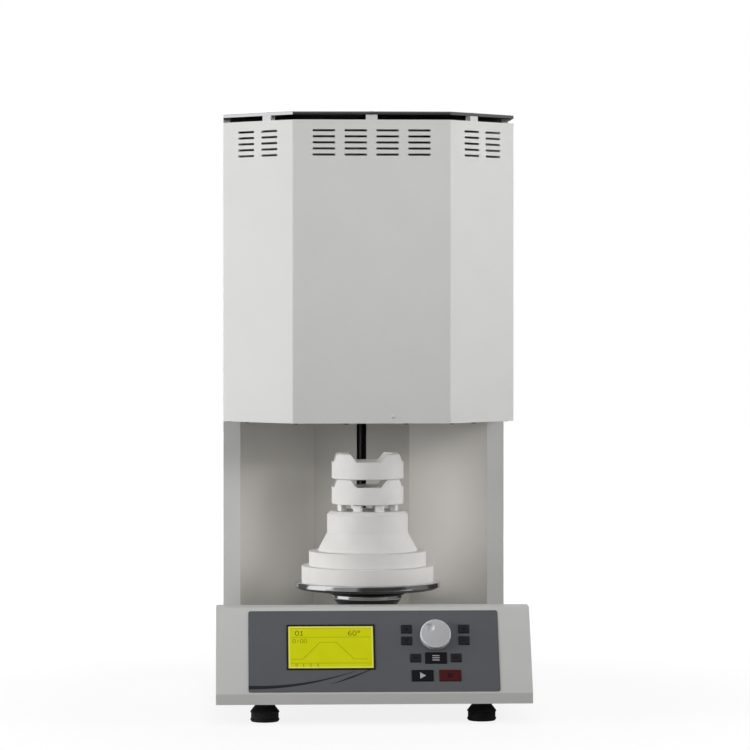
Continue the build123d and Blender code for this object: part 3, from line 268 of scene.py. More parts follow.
def fibre(name, rgb):
    """Chalky pressed fibre with the faint lines of its turning."""
    made = Finish(name, 0.92)
    turned = made.lines(2.1 * MM, "Z", 0.6)
    shade = made.mottled(rgb, 0.025, 22 * MM, 4.0)
    darker = [channel * 0.955 for channel in rgb] + [1.0]
    made.paint(made.mixed(made.math("MULTIPLY", turned, made.grain(30 * MM)), shade, darker))
    made.bump(turned, 0.06 * MM, 0.5)
    made.bump(made.grain(1.6 * MM, 4.0), 0.10 * MM, 0.6)
    made.shader.inputs["Specular IOR Level"].default_value = 0.2
    return made.material


def ceramic(name, rgb, roughness=0.62):
    """Unglazed fired ceramic."""
    made = Finish(name, roughness)
    made.mottled(rgb, 0.018, 14 * MM, 4.0)
    made.rough(made.grain(3 * MM), roughness - 0.06, roughness + 0.10)
    made.bump(made.grain(0.8 * MM, 3.0), 0.03 * MM, 0.7)
    made.shader.inputs["Specular IOR Level"].default_value = 0.35
    return made.material


def moulded(name, rgb, roughness=0.48, specular=0.45):
    """Moulded plastic with a fine spark-eroded grain."""
    made = Finish(name, roughness)
    made.mottled(rgb, 0.10, 5 * MM)
    made.rough(made.grain(1.2 * MM), roughness - 0.05, roughness + 0.07)
    made.bump(made.grain(0.5 * MM), 0.015 * MM)
    made.shader.inputs["Specular IOR Level"].default_value = specular
    return made.material


def film(name, rgb):
    """Matt printed film with a very fine grain."""
    made = Finish(name, 0.50)
    made.mottled(rgb, 0.03, 45 * MM, 3.0)
    made.rough(made.grain(0.8 * MM), 0.46, 0.56)
    made.bump(made.grain(0.4 * MM), 0.008 * MM)
    made.shader.inputs["Specular IOR Level"].default_value = 0.4
    return made.material


def rubber(name, rgb):
    """Dull moulded rubber with rubbed patches."""
    made = Finish(name, 0.70)
    made.mottled(rgb, 0.25, 9 * MM, 4.0)
    made.rough(made.grain(4 * MM, 3.0), 0.60, 0.82)
    made.bump(made.grain(0.9 * MM, 3.0), 0.04 * MM)
    return made.material


def backlit(name, rgb):
    """Display film lit from behind, a little brighter towards its edges."""
    made = Finish(name, 0.32)
    shade = made.mottled(rgb, 0.02, 28 * MM)
    made.fill(made.shader.inputs["Emission Color"], shade)
    made.shader.inputs["Emission Strength"].default_value = 0.24
    made.shader.inputs["Specular IOR Level"].default_value = 0.3
    made.rough(made.grain(0.5 * MM), 0.28, 0.36)
    return made.material


def circuit_board(name, rgb):
    """Solder mask with copper tracks showing through."""
    made = Finish(name, 0.38)
    tracks = made.math("GREATER_THAN", made.lines(2.5 * MM, "X", 3.0), 0.72)
    lighter = [min(channel * 1.7 + 0.01, 1.0) for channel in rgb] + [1.0]
    made.paint(made.mixed(tracks, [*rgb, 1.0], lighter))
    made.rough(made.grain(2 * MM), 0.32, 0.46)
    made.bump(tracks, 0.03 * MM)
    return made.material


def laminated_core(name, rgb):
    """Stacked iron sheets, with varnished tape on the coils that stand out at the front and back."""
    low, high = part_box("transformer")
    half_core = 30 * MM
    made = Finish(name, 0.55)
    sheets = made.lines(0.8 * MM, "Y")
    iron = made.mixed(sheets, [channel * 0.55 for channel in rgb] + [1.0], [*rgb, 1.0])
    from_middle = made.math("SUBTRACT", made.axis("Y"), (low.y + high.y) / 2)
    coil = made.math("GREATER_THAN", made.math("ABSOLUTE", from_middle), half_core)
    tape = made.mixed(made.lines(9 * MM, "Z"), (0.34, 0.20, 0.03, 1.0), (0.42, 0.26, 0.05, 1.0))
    made.paint(made.mixed(coil, iron, tape))
    made.bump(sheets, 0.05 * MM)
    return made.material


def glassy_element(name, rgb):
    """Dark rod with the thin glassy skin it grows in use."""
    made = Finish(name, 0.30)
    made.mottled(rgb, 0.30, 12 * MM, 4.0)
    made.rough(made.grain(5 * MM, 3.0), 0.22, 0.45)
    made.bump(made.grain(1.5 * MM, 3.0), 0.03 * MM)
    return made.material


# what makes each finish, its colour (a name, a name with a share of it, or the colour itself) and more values
FINISHES = {
    "powder_coat_light": (powder_coat, "coat"),
    "powder_coat_warm": (powder_coat, "recess", 0.34),
    "polished_lid": (brushed, "lid", 0.18, (0.04, 1.0, 1.0)),
    "bright_spacer": (powder_coat, "aluminium", 0.30),
    "floor_steel": (brushed, "steel", 0.34, (1.0, 0.04, 1.0)),
    "panel_film": (film, "film"),
    "display_frame": (moulded, "plastic", 0.30),
    "display_screen": (circuit_board, "board"),
    "key_dark": (moulded, "key"),
    "key_black": (moulded, "key_black", 0.36),
    "key_red": (moulded, "key_red", 0.36),
    "knob_metal": (satin_metal, "knob", 0.40, 0.5),
    "foot_rubber": (rubber, "rubber"),
    "circuit_board": (circuit_board, "board"),
    "black_plastic": (moulded, "plastic"),
    "transformer_iron": (laminated_core, (0.10, 0.09, 0.085)),
    "fibre_board": (fibre, "fibre"),
    "bowl_ceramic": (ceramic, "bowl"),
    "element_grey": (glassy_element, (0.055, 0.055, 0.062)),
    "holder_ceramic": (ceramic, (0.66, 0.62, 0.54), 0.7),
    "plate_chrome": (polished, "chrome"),
    "hub_black": (moulded, "black", 0.34),
    "arm_steel": (brushed, "steel", 0.32, (1.0, 1.0, 0.05)),
    "drive_aluminium": (brushed, "aluminium", 0.34, (1.0, 0.05, 1.0)),
    "nut_bronze": (brushed, (0.62, 0.40, 0.16), 0.30, (1.0, 1.0, 0.05)),
    "motor_black": (moulded, "black", 0.42),
    # finishes that no slot of the record has to itself
    "screen_film": (backlit, "screen"),
    "screen_edge": (backlit, "screen_edge"),
    "screen_ink": (film, "ink"),
    "screen_faint_ink": (film, "ink_faint"),
    "stripe_ink": (film, "stripe"),
    "light_ink": (film, "mark"),
    "faint_ink": (film, "faint_mark"),
    "red_ink": (film, ("key_red", 0.35)),
    "lid_lining": (moulded, "plastic", 0.7),
    # painted highlight on the knob's rim: lighter and less metallic than the knob's own metal
    "knob_edge": (satin_metal, "knob_edge", 0.26, 0.2),
    "screw_steel": (satin_metal, ("steel", 0.55)),
}


def finish(name):
    """The material of that name, made the first time that it is asked for."""
    full_name = name + "_finish"
    if full_name not in bpy.data.materials:
        maker, rgb, *values = FINISHES[name]
        colours = bpy.context.scene.furnace_colours
        if isinstance(rgb, str):
            rgb = getattr(colours, rgb)
        elif isinstance(rgb[0], str):
            rgb = [channel * rgb[1] for channel in getattr(colours, rgb[0])]
        maker(full_name, rgb, *values)
    return bpy.data.materials[full_name]


# ---------------------------------------------------------------- shapes
def to_mesh(bm, name="shape"):
    """Turns a bmesh into a mesh with its faces outwards."""
    bmesh.ops.recalc_face_normals(bm, faces=bm.faces)
    mesh = bpy.data.meshes.new(name)
    bm.to_mesh(mesh)
    bm.free()
    return mesh


def softened(corners, steps=5):
    """The outline through corners of (across, up, radius), each rounded to its radius."""
    points = []
    for index, (across, up, radius) in enumerate(corners):
        corner = Vector((across, up))
        if radius == 0:
            points.append(corner)
            continue
        back = (Vector(corners[index - 1][:2]) - corner).normalized()
        ahead = (Vector(corners[(index + 1) % len(corners)][:2]) - corner).normalized()
        half = back.angle(ahead) / 2
        centre = corner + (back + ahead).normalized() * radius / sin(half)
        start = (corner + back * radius / tan(half) - centre).normalized()
        end = (corner + ahead * radius / tan(half) - centre).normalized()
        for step in range(steps + 1):
            points.append(centre + start.slerp(end, step / steps) * radius)
    return points


def turned(profile, steps=TURN_STEPS):
    """A closed body of revolution round Z; the profile's points are (radius, height)."""
    bm = bmesh.new()
    verts = [bm.verts.new((radius, 0, height)) for radius, height in profile]
    edges = [bm.edges.new(pair) for pair in zip(verts, verts[1:])]
    bmesh.ops.spin(
        bm, geom=verts + edges, cent=(0, 0, 0), axis=(0, 0, 1), angle=2 * pi, steps=steps, use_merge=True
    )
    bmesh.ops.remove_doubles(bm, verts=bm.verts, dist=0.0005 * MM)
    return to_mesh(bm)


def block(size, softness, segments=2):
    """A block round the origin with softened edges."""
    bm = bmesh.new()
    bmesh.ops.create_cube(bm, size=1, matrix=Matrix.Diagonal((*size, 1)))
    bmesh.ops.bevel(
        bm,
        geom=bm.edges[:],
        offset=softness,
        segments=segments,
        profile=0.5,
        affect="EDGES",
        material=-1,
    )
    return to_mesh(bm)


def plate(outline, thickness):
    """A flat plate with the given outline, standing on z = 0."""
    bm = bmesh.new()
    face = bm.faces.new([bm.verts.new((x, y, 0)) for x, y in outline])
    made = bmesh.ops.extrude_face_region(bm, geom=[face])["geom"]
    raised = [item for item in made if isinstance(item, bmesh.types.BMVert)]
    bmesh.ops.translate(bm, verts=raised, vec=(0, 0, thickness))
    return to_mesh(bm)


def rectangle(width, height, centre=(0, 0)):
    """Corners of a rectangle."""
    across, up = width / 2, height / 2
    x, y = centre
    return [(x - across, y - up), (x + across, y - up), (x + across, y + up), (x - across, y + up)]


def ribbon(points, widths):
    """Outline of a stripe that follows points, with its own width at each."""
    left, right = [], []
    last = len(points) - 1
    for index, point in enumerate(points):
        run = (points[min(index + 1, last)] - points[max(index - 1, 0)]).normalized()
        side = Vector((-run.y, run.x)) * widths[index] / 2
        left.append(point + side)
        right.append(point - side)
    return left + right[::-1]


def piece(name, shapes, body, slot, material=None):
    """One finished object made of (mesh, place) pairs, which rides on a body."""
    bm = bmesh.new()
    for mesh, place in shapes:
        before = len(bm.verts)
        bm.from_mesh(mesh)
        bm.verts.ensure_lookup_table()
        bmesh.ops.transform(bm, matrix=place, verts=bm.verts[before:])
    mesh = to_mesh(bm, name)
    mesh.shade_smooth()
    mesh.set_sharp_from_angle(angle=SMOOTH_ANGLE)
    mesh.materials.append(finish(material or slot))
    made = bpy.data.objects.new(name, mesh)
    bpy.context.scene.collection.objects.link(made)
    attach(made, body)
    return made


# ---------------------------------------------------------------- places read from the frame
def middle(node):
    """Middle of a node's box."""
    low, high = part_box(node)
    return (low + high) / 2


def on_axis(node, height):
    """Place on a node's upright axis, at a height."""
    centre = middle(node)
    return Matrix.Translation((centre.x, centre.y, height))


def radius_of(node):
    """Radius of an upright round node."""
    low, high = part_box(node)
    return (high.x - low.x) / 2


knob_joint = next(joint for joint in frame["joints"] if joint["name"] == "knob_turn")
outward = Vector(knob_joint["axis"]).normalized()
across = Vector((1, 0, 0))
upslope = outward.cross(across)
FILM_THICKNESS = 0.6 * MM
film_face = middle("control_overlay") + outward * FILM_THICKNESS / 2
# the panel's own frame: X across, Y up the slope, Z out of the film's face
panel = Matrix.Translation(film_face) @ Matrix((across, upslope, outward)).transposed().to_4x4()
to_panel = panel.inverted()


def on_panel(x, y, height=0.0):
    """A place on the sloping panel, turned with it."""
    return panel @ Matrix.Translation((x, y, height))


# ---------------------------------------------------------------- lift table, plug and bowls
class FURNACE_OT_lift_plate(bpy.types.Operator):
    """Polished plate, the slope under its rim painted black as painted shade, with the black hub and the bright
    ring round it
    """

    bl_idname = "furnace.lift_plate"
    bl_label = "Lift plate"

    def execute(self, context):
        sizes = context.scene.furnace_sizes
        low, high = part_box("lift_plate")
        radius = radius_of("lift_plate")
        thickness = high.z - low.z
        slope = sizes.rim_slope
        rim = [(0, 0, 0), (radius - 2 * slope, 0, 2 * MM), (radius, slope, 1 * MM)]
        rim += [(radius, thickness, sizes.rim_top), (0, thickness, 0)]
        made = piece(
            "table_plate",
            [(turned(softened(rim, 8)), on_axis("lift_plate", low.z))],
            "lift_table",
            "plate_chrome",
        )
        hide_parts("lift_plate")
        # painted shade: the plate's downward faces get the hub's black, standing in for the shadowed deck that the
        # rim would mirror
        made.data.materials.append(finish("hub_black"))
        for face in made.data.polygons:
            if face.normal.z < -0.2:
                face.material_index = 1
        # under the plate a black hub with a neck and a flange, and a bright ring below the flange
        hub_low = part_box("table_hub")[0]
        collar_low, collar_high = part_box("plate_collar")
        height = collar_high.z - hub_low.z
        ring_height = 5.7 * MM
        shoulder = collar_low.z - 5.3 * MM - hub_low.z  # where the hub's cone ends and the ring starts
        neck = sizes.hub_radius - 4 * MM
        foot = radius_of("table_hub") - 9 * MM
        flange = sizes.collar_radius + 1.5 * MM
        flange_low = shoulder + ring_height
        flange_top = flange_low + 1.8 * MM
        hub = [(0, 0, 0), (foot, 0, 0.9 * MM), (sizes.hub_radius, shoulder, 0.3 * MM)]
        hub += [(neck, shoulder, 0), (neck, flange_low, 0), (flange, flange_low, 0.4 * MM)]
        hub += [(flange, flange_top, 0.4 * MM), (neck, flange_top, 0), (neck, height, 0), (0, height, 0)]
        made = piece(
            "table_cone", [(turned(softened(hub)), on_axis("table_hub", hub_low.z))], "lift_table", "hub_black"
        )
        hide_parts("table_hub")
        inner, outer, edge = neck - 1 * MM, sizes.collar_radius, 1.3 * MM
        ring = softened([(inner, 0, 0), (outer, 0, edge), (outer, ring_height, edge), (inner, ring_height, 0)], 8)
        place = on_axis("plate_collar", hub_low.z + shoulder)
        made = piece("table_collar", [(turned(ring + ring[:1]), place)], "lift_table", "plate_chrome")
        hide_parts("plate_collar")
        return {"FINISHED"}


class FURNACE_OT_fibre_plug(bpy.types.Operator):
    """The plug's two discs and its body, with softened edges, and the pegs on top"""

    bl_idname = "furnace.fibre_plug"
    bl_label = "Fibre plug"

    def execute(self, context):
        sizes = context.scene.furnace_sizes
        soft = sizes.fibre_softness
        for node in ("plug_base", "plug_step"):
            low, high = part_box(node)
            radius = radius_of(node)
            height = high.z - low.z
            disc = [(0, 0, 0), (radius, 0, soft / 2), (radius, height, soft), (0, height, 0)]
            made = piece(
                node + "_disc", [(turned(softened(disc)), on_axis(node, low.z))], "lift_table", "fibre_board"
            )
            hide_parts(node)
        low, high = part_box("plug_body")
        radius = radius_of("plug_body")
        height = high.z - low.z
        neck = 24 * MM  # height of the cone
        neck_radius = 53.5 * MM
        chamfer = 4.8 * MM
        outline = [
            (0, 0, 0),
            (radius, 0, soft / 2),
            (neck_radius, neck, 2 * soft),
            (neck_radius, height - chamfer, soft),
            (neck_radius - chamfer, height, soft),
            (0, height, 0),
        ]
        made = piece(
            "plug_cone", [(turned(softened(outline)), on_axis("plug_body", low.z))], "lift_table", "fibre_board"
        )
        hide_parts("plug_body")
        low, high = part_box("support_pegs")
        peg = block((8 * MM, 11 * MM, high.z - low.z), 0.8 * MM)
        peg_count = 8
        peg_circle = 37 * MM
        standing = on_axis("support_pegs", (low.z + high.z) / 2)
        shapes = []
        for index in range(peg_count):
            turn = Matrix.Rotation(2 * pi * (index + 0.5) / peg_count, 4, "Z")
            shapes.append((peg, standing @ turn @ Matrix.Translation((peg_circle, 0, 0))))
        made = piece("bowl_pegs", shapes, "lift_table", "bowl_ceramic")
        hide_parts("support_pegs")
        return {"FINISHED"}


class FURNACE_OT_bowls(bpy.types.Operator):
    """Two bowls with a notch on each of their four sides"""

    bl_idname = "furnace.bowls"
    bl_label = "Sintering bowls"

    def execute(self, context):
        sizes = context.scene.furnace_sizes
        edge = 0.9 * MM
        steps = 360
        for node, body in (("sinter_bowl_lower", "lower_bowl"), ("sinter_bowl_upper", "upper_bowl")):
            low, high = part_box(node)
            radius = radius_of(node)
            height = high.z - low.z
            inner = radius - sizes.bowl_wall
            still = height - sizes.notch_depth - 2 * edge  # below this the walls keep their shape
            outline = [
                (0, 0, 0),
                (radius, 0, 1.6 * MM),
                (radius, still, 0),
                (radius, height, edge),
                (inner, height, edge),
                (inner, still, 0),
                (inner, sizes.bowl_wall, 3 * MM),
                (0, sizes.bowl_wall, 0),
            ]
            mesh = turned(softened(outline, 4), steps)
            slope = (sizes.notch_top - sizes.notch_foot) / 2
            for vertex in mesh.vertices:
                if vertex.co.z > still + edge / 2:
                    aside = min(abs(vertex.co.x), abs(vertex.co.y))
                    depth = min(max((sizes.notch_top / 2 - aside) / slope, 0.0), 1.0)
                    vertex.co.z -= depth * sizes.notch_depth
            made = piece(node + "_cast", [(mesh, on_axis(node, low.z))], body, "bowl_ceramic")
            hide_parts(node)
        return {"FINISHED"}


# ---------------------------------------------------------------- control panel
class FURNACE_OT_knob(bpy.types.Operator):
    """Satin knob with a rounded rim painted bright as a painted highlight, and a finger dimple towards the upper
    left
    """

    bl_idname = "furnace.knob"
    bl_label = "Control knob"

    def execute(self, context):
        sizes = context.scene.furnace_sizes
        centre = to_panel @ Vector(knob_joint["pos_m"])
        gap = 0.6 * MM
        radius = radius_of("control_knob")
        shaft = 3 * MM
        cavity = 5.7 * MM
        cavity_top = 5 * MM
        shaft_foot = -9 * MM
        crown = 0.4 * MM  # rise of the top towards its middle
        outline = [
            (0, shaft_foot, 0),
            (shaft, shaft_foot, 0),
            (shaft, cavity_top, 0),
            (cavity, cavity_top, 0),
            (cavity, gap, 0),
            (radius - 0.5 * MM, gap, 0.4 * MM),
            (radius, gap + 2 * MM, 0.8 * MM),
            (radius - 0.3 * MM, gap + sizes.knob_height - crown, sizes.knob_rim),
            (0, gap + sizes.knob_height, 0),
        ]
        made = piece("knob_cap", [(turned(softened(outline, 8)), Matrix())], "knob", "knob_metal")
        # the dimple is a ball's cap cut out of the top
        ball = (sizes.dimple_radius**2 + sizes.dimple_depth**2) / (2 * sizes.dimple_depth)
        lean = radians(130)
        bm = bmesh.new()
        place = Matrix.Translation(
            (
                sizes.dimple_offset * cos(lean),
                sizes.dimple_offset * sin(lean),
                gap + sizes.knob_height - sizes.dimple_depth + ball,
            )
        )
        bmesh.ops.create_uvsphere(bm, u_segments=64, v_segments=48, radius=ball, matrix=place)
        cutter = bpy.data.objects.new("dimple_ball", to_mesh(bm))
        context.scene.collection.objects.link(cutter)
        cut = made.modifiers.new("dimple", "BOOLEAN")
        cut.object = cutter
        cut.operation = "DIFFERENCE"
        cut.solver = "EXACT"
        context.view_layer.update()
        carved = bpy.data.meshes.new_from_object(made.evaluated_get(context.evaluated_depsgraph_get()))
        made.modifiers.clear()
        bpy.data.objects.remove(cutter)
        carved.transform(on_panel(centre.x, centre.y))
        carved.shade_smooth()
        carved.set_sharp_from_angle(angle=SMOOTH_ANGLE)
        made.data = carved
        # painted highlight: the rim's leaning faces get the lighter, less metallic copy of the knob's metal, so
        # that they read bright
        carved.materials.append(finish("knob_edge"))
        for face in carved.polygons:
            spot = to_panel @ face.center - centre
            leaning = 0.05 < face.normal.dot(outward) < 0.98
            if leaning and hypot(spot.x, spot.y) > radius - 1.2 * sizes.knob_rim:
                face.material_index = 1
        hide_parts("control_knob")
        return {"FINISHED"}


DOT_ROWS = {
    "0": (" ### ", "#   #", "#   #", "#   #", "#   #", "#   #", " ### "),
    "1": ("  #  ", " ##  ", "  #  ", "  #  ", "  #  ", "  #  ", " ### "),
    "2": (" ### ", "#   #", "    #", "   # ", "  #  ", " #   ", "#####"),
    "3": ("#####", "   # ", "  #  ", "   # ", "    #", "#   #", " ### "),
    "6": ("  ## ", " #   ", "#    ", "#### ", "#   #", "#   #", " ### "),
    "°": (" ##  ", "#  # ", " ##  ", "     ", "     ", "     ", "     "),
    ":": ("     ", "  #  ", "  #  ", "     ", "  #  ", "  #  ", "     "),
    " ": ("     ",) * 7,
}


def dotted(text, left, top, dot):
    """Outlines of the square dots that write text, from its upper left corner."""
    outlines = []
    for place, letter in enumerate(text):
        for row, marks in enumerate(DOT_ROWS[letter]):
            for column, mark in enumerate(marks):
                if mark == "#":
                    x = left + (6 * place + column + 0.5) * dot
                    y = top - (row + 0.5) * dot
                    outlines.append(rectangle(0.96 * dot, 0.96 * dot, (x, y)))
    return outlines


class FURNACE_OT_display(bpy.types.Operator):
    """Backlit screen with plain figures, rules and a firing curve"""

    bl_idname = "furnace.display"
    bl_label = "Display"

    def execute(self, context):
        sizes = context.scene.furnace_sizes
        centre = to_panel @ middle("display_bezel")
        width, height = 107.6 * MM, 57.0 * MM
        glass_thickness = 0.25 * MM
        corner = 0.6 * MM
        across_half, up_half = width / 2, height / 2
        corners = [(x, y, corner) for x, y in rectangle(width, height)]
        glass = plate(softened(corners), glass_thickness)
        piece(
            "display_glass", [(glass, on_panel(centre.x, centre.y))], "chassis", "display_screen", "screen_film"
        )
        rule = 0.4 * MM
        margin = 3 * MM
        upper_rule, lower_rule = 13.7 * MM, -21.7 * MM
        # firing curve: hold, rise, hold, fall
        curve = [
            Vector((x * MM, y * MM))
            for x, y in ((-50, -16.2), (-35.5, -16.2), (-13.8, 6.8), (6.9, 6.8), (29.5, -16.2), (46, -16.2))
        ]
        edge = 1.7 * MM
        top, side = up_half - edge / 2 - 0.2 * MM, across_half - edge / 2 - 0.2 * MM
        edges = [rectangle(2 * side + edge, edge, (0, y)) for y in (-top, top)]
        edges += [rectangle(edge, 2 * top - edge, (x, 0)) for x in (-side, side)]
        lines = [
            rectangle(width - 2 * margin, rule, (0, upper_rule)),
            rectangle(width - 2 * margin, rule, (0, lower_rule)),
            ribbon(curve, [0.5 * MM] * len(curve)),
            rectangle(2 * side - edge, rule, (0, top - edge / 2 - rule)),
        ]
        lines += dotted("0:00", -48.5 * MM, 11.2 * MM, 0.8 * MM)
        figures = dotted("01", -45.3 * MM, 22.6 * MM, 0.98 * MM)
        figures += dotted("60°", 22 * MM, 22.6 * MM, 0.98 * MM)
        figures += dotted("0  1  2  3", -45 * MM, -22.6 * MM, 0.5 * MM)
        place = on_panel(centre.x, centre.y, glass_thickness)
        for name, outlines, ink in (
            ("display_edge", edges, "screen_edge"),
            ("display_lines", lines, "screen_faint_ink"),
            ("display_figures", figures, "screen_ink"),
        ):
            marks = [(plate(outline, sizes.print_thickness), place) for outline in outlines]
            piece(name, marks, "chassis", "display_screen", ink)
        return {"FINISHED"}


def arrow(size, turn, shift=0.0):
    """A triangle that points along turn, moved by shift along it."""
    points = [(shift + size * 0.62, 0), (shift - size * 0.45, size * 0.62), (shift - size * 0.45, -size * 0.62)]
    return [(x * cos(turn) - y * sin(turn), x * sin(turn) + y * cos(turn)) for x, y in points]


def plus(size, width):
    """Corners of a plus sign."""
    far, near = size / 2, width / 2
    quarter = [(far, near), (near, near), (near, far)]
    corners = []
    for turn in range(4):
        angle = turn * pi / 2
        corners += [(x * cos(angle) - y * sin(angle), x * sin(angle) + y * cos(angle)) for x, y in quarter]
    return corners


class FURNACE_OT_panel_print(bpy.types.Operator):
    """Plain signs on the keys and two swung stripes on the film"""

    bl_idname = "furnace.panel_print"
    bl_label = "Panel print"

    def execute(self, context):
        sizes = context.scene.furnace_sizes
        small = 4.6 * MM
        bar = 1.1 * MM
        signs = {
            "key_up": ([arrow(small, pi / 2)], "faint_ink"),
            "key_down": ([arrow(small, -pi / 2)], "faint_ink"),
            "key_plus": ([plus(small, bar)], "faint_ink"),
            "key_minus": ([rectangle(small, bar)], "faint_ink"),
            "key_back": ([arrow(small * 0.7, pi, 2 * MM), arrow(small * 0.7, pi, -2 * MM)], "faint_ink"),
            "key_forward": ([arrow(small * 0.7, 0, 2 * MM), arrow(small * 0.7, 0, -2 * MM)], "faint_ink"),
            "key_program": ([rectangle(9 * MM, 1.2 * MM, (0, y * MM)) for y in (-3, 0, 3)], "light_ink"),
            "key_start": ([arrow(7 * MM, 0)], "light_ink"),
            "key_stop": ([rectangle(6.4 * MM, 6.4 * MM)], "red_ink"),
        }
        for key, (outlines, ink) in signs.items():
            centre = to_panel @ middle(key)
            place = on_panel(centre.x, centre.y, sizes.key_proud)
            shapes = [(plate(outline, sizes.print_thickness), place) for outline in outlines]
            node = frame["nodes"][key]
            slot = next(
                part["material_slot"] for part in frame["record"]["subparts"] if part["node"] == node.name
            )
            piece(key + "_sign", shapes, key, slot, ink)
        # (start, two handles, end) of each stripe's middle line, and its width at start, middle and end
        stripes = {
            "long_stripe": (((-158.6, -48.9), (-112, -49.6), (-72, -43.5), (-23, -27)), (4.8, 2.9, 0.4)),
            "short_stripe": (((-56, -45.0), (-38, -39.5), (-23, -33.5), (-5, -25.5)), (0.2, 2.3, 0.9)),
        }
        steps = 32
        for name, (handles, widths) in stripes.items():
            start, first, second, end = [Vector((x * MM, y * MM)) for x, y in handles]
            points = [point.to_2d() for point in interpolate_bezier(start, first, second, end, steps)]
            spread = []
            for index in range(steps):
                along = index / (steps - 1)
                first_half = along < 0.5
                low, high = (widths[0], widths[1]) if first_half else (widths[1], widths[2])
                spread.append((low + (high - low) * (2 * along if first_half else 2 * along - 1)) * MM)
            shape = plate(ribbon(points, spread), sizes.print_thickness)
            piece(name, [(shape, on_panel(0, 0))], "chassis", "panel_film", "stripe_ink")
        return {"FINISHED"}


# ---------------------------------------------------------------- lid, screws and feet
def head_outline(inset, sizes):
    """The lid's half-octagon, from the rear left round the front to the rear right."""
    low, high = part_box("top_lid")
    corner = inset * tan(radians(22.5))
    half = high.x - inset
    right = [
        (high.x - sizes.facet_depth - corner, low.y + inset),
        (half, low.y + sizes.facet_depth + corner),
        (half, high.y - inset),
    ]
    return [(-x, y) for x, y in reversed(right)] + right


class FURNACE_OT_lid(bpy.types.Operator):
    """Folded lid with a rounded upper edge, open underneath"""

    bl_idname = "furnace.lid"
    bl_label = "Lid"

    def execute(self, context):
        sizes = context.scene.furnace_sizes
        low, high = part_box("top_lid")
        screw_room = 0.35 * MM
        bm = bmesh.new()
        bottom = bm.faces.new([bm.verts.new((x, y, low.z)) for x, y in head_outline(0, sizes)])
        made = bmesh.ops.extrude_face_region(bm, geom=[bottom])["geom"]
        raised = [item for item in made if isinstance(item, bmesh.types.BMVert)]
        bmesh.ops.translate(bm, verts=raised, vec=(0, 0, high.z - screw_room - low.z))
        bmesh.ops.inset_region(bm, faces=[bottom], thickness=sizes.lid_hem, use_even_offset=True)
        bmesh.ops.translate(bm, verts=bottom.verts, vec=(0, 0, high.z - low.z - screw_room - sizes.lid_hem))
        outer = [
            edge
            for edge in bm.edges
            if all(abs(vertex.co.z - (high.z - screw_room)) < 0.01 * MM for vertex in edge.verts)
        ]
        bmesh.ops.bevel(
            bm,
            geom=outer,
            offset=sizes.lid_softness,
            segments=4,
            profile=0.5,
            affect="EDGES",
            material=-1,
        )
        made = piece("lid_plate", [(to_mesh(bm), Matrix())], "chassis", "polished_lid")
        made.data.materials.append(finish("lid_lining"))
        for face in made.data.polygons:
            if face.normal.z < -0.9 and face.center.z > low.z + sizes.lid_hem:
                face.material_index = 1
        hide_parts("top_lid")
        return {"FINISHED"}


def screw_head(radius, height):
    """A pan head with a hexagonal socket, standing on z = 0."""
    socket = 0.42 * radius
    outline = [
        (0, 0.3 * height, 0),
        (socket, 0.3 * height, 0),
        (socket, height, 0),
        (0.72 * radius, height, 0.4 * height),
        (radius, 0.35 * height, 0.2 * height),
        (radius, 0, 0),
        (0, 0, 0),
    ]
    mesh = turned(softened(outline, 3), 24)
    for vertex in mesh.vertices:
        out = hypot(vertex.co.x, vertex.co.y)
        if 0 < out < 1.05 * socket:
            turn = atan2(vertex.co.y, vertex.co.x) % (pi / 3) - pi / 6
            vertex.co.xy *= cos(pi / 6) / cos(turn)
    return mesh


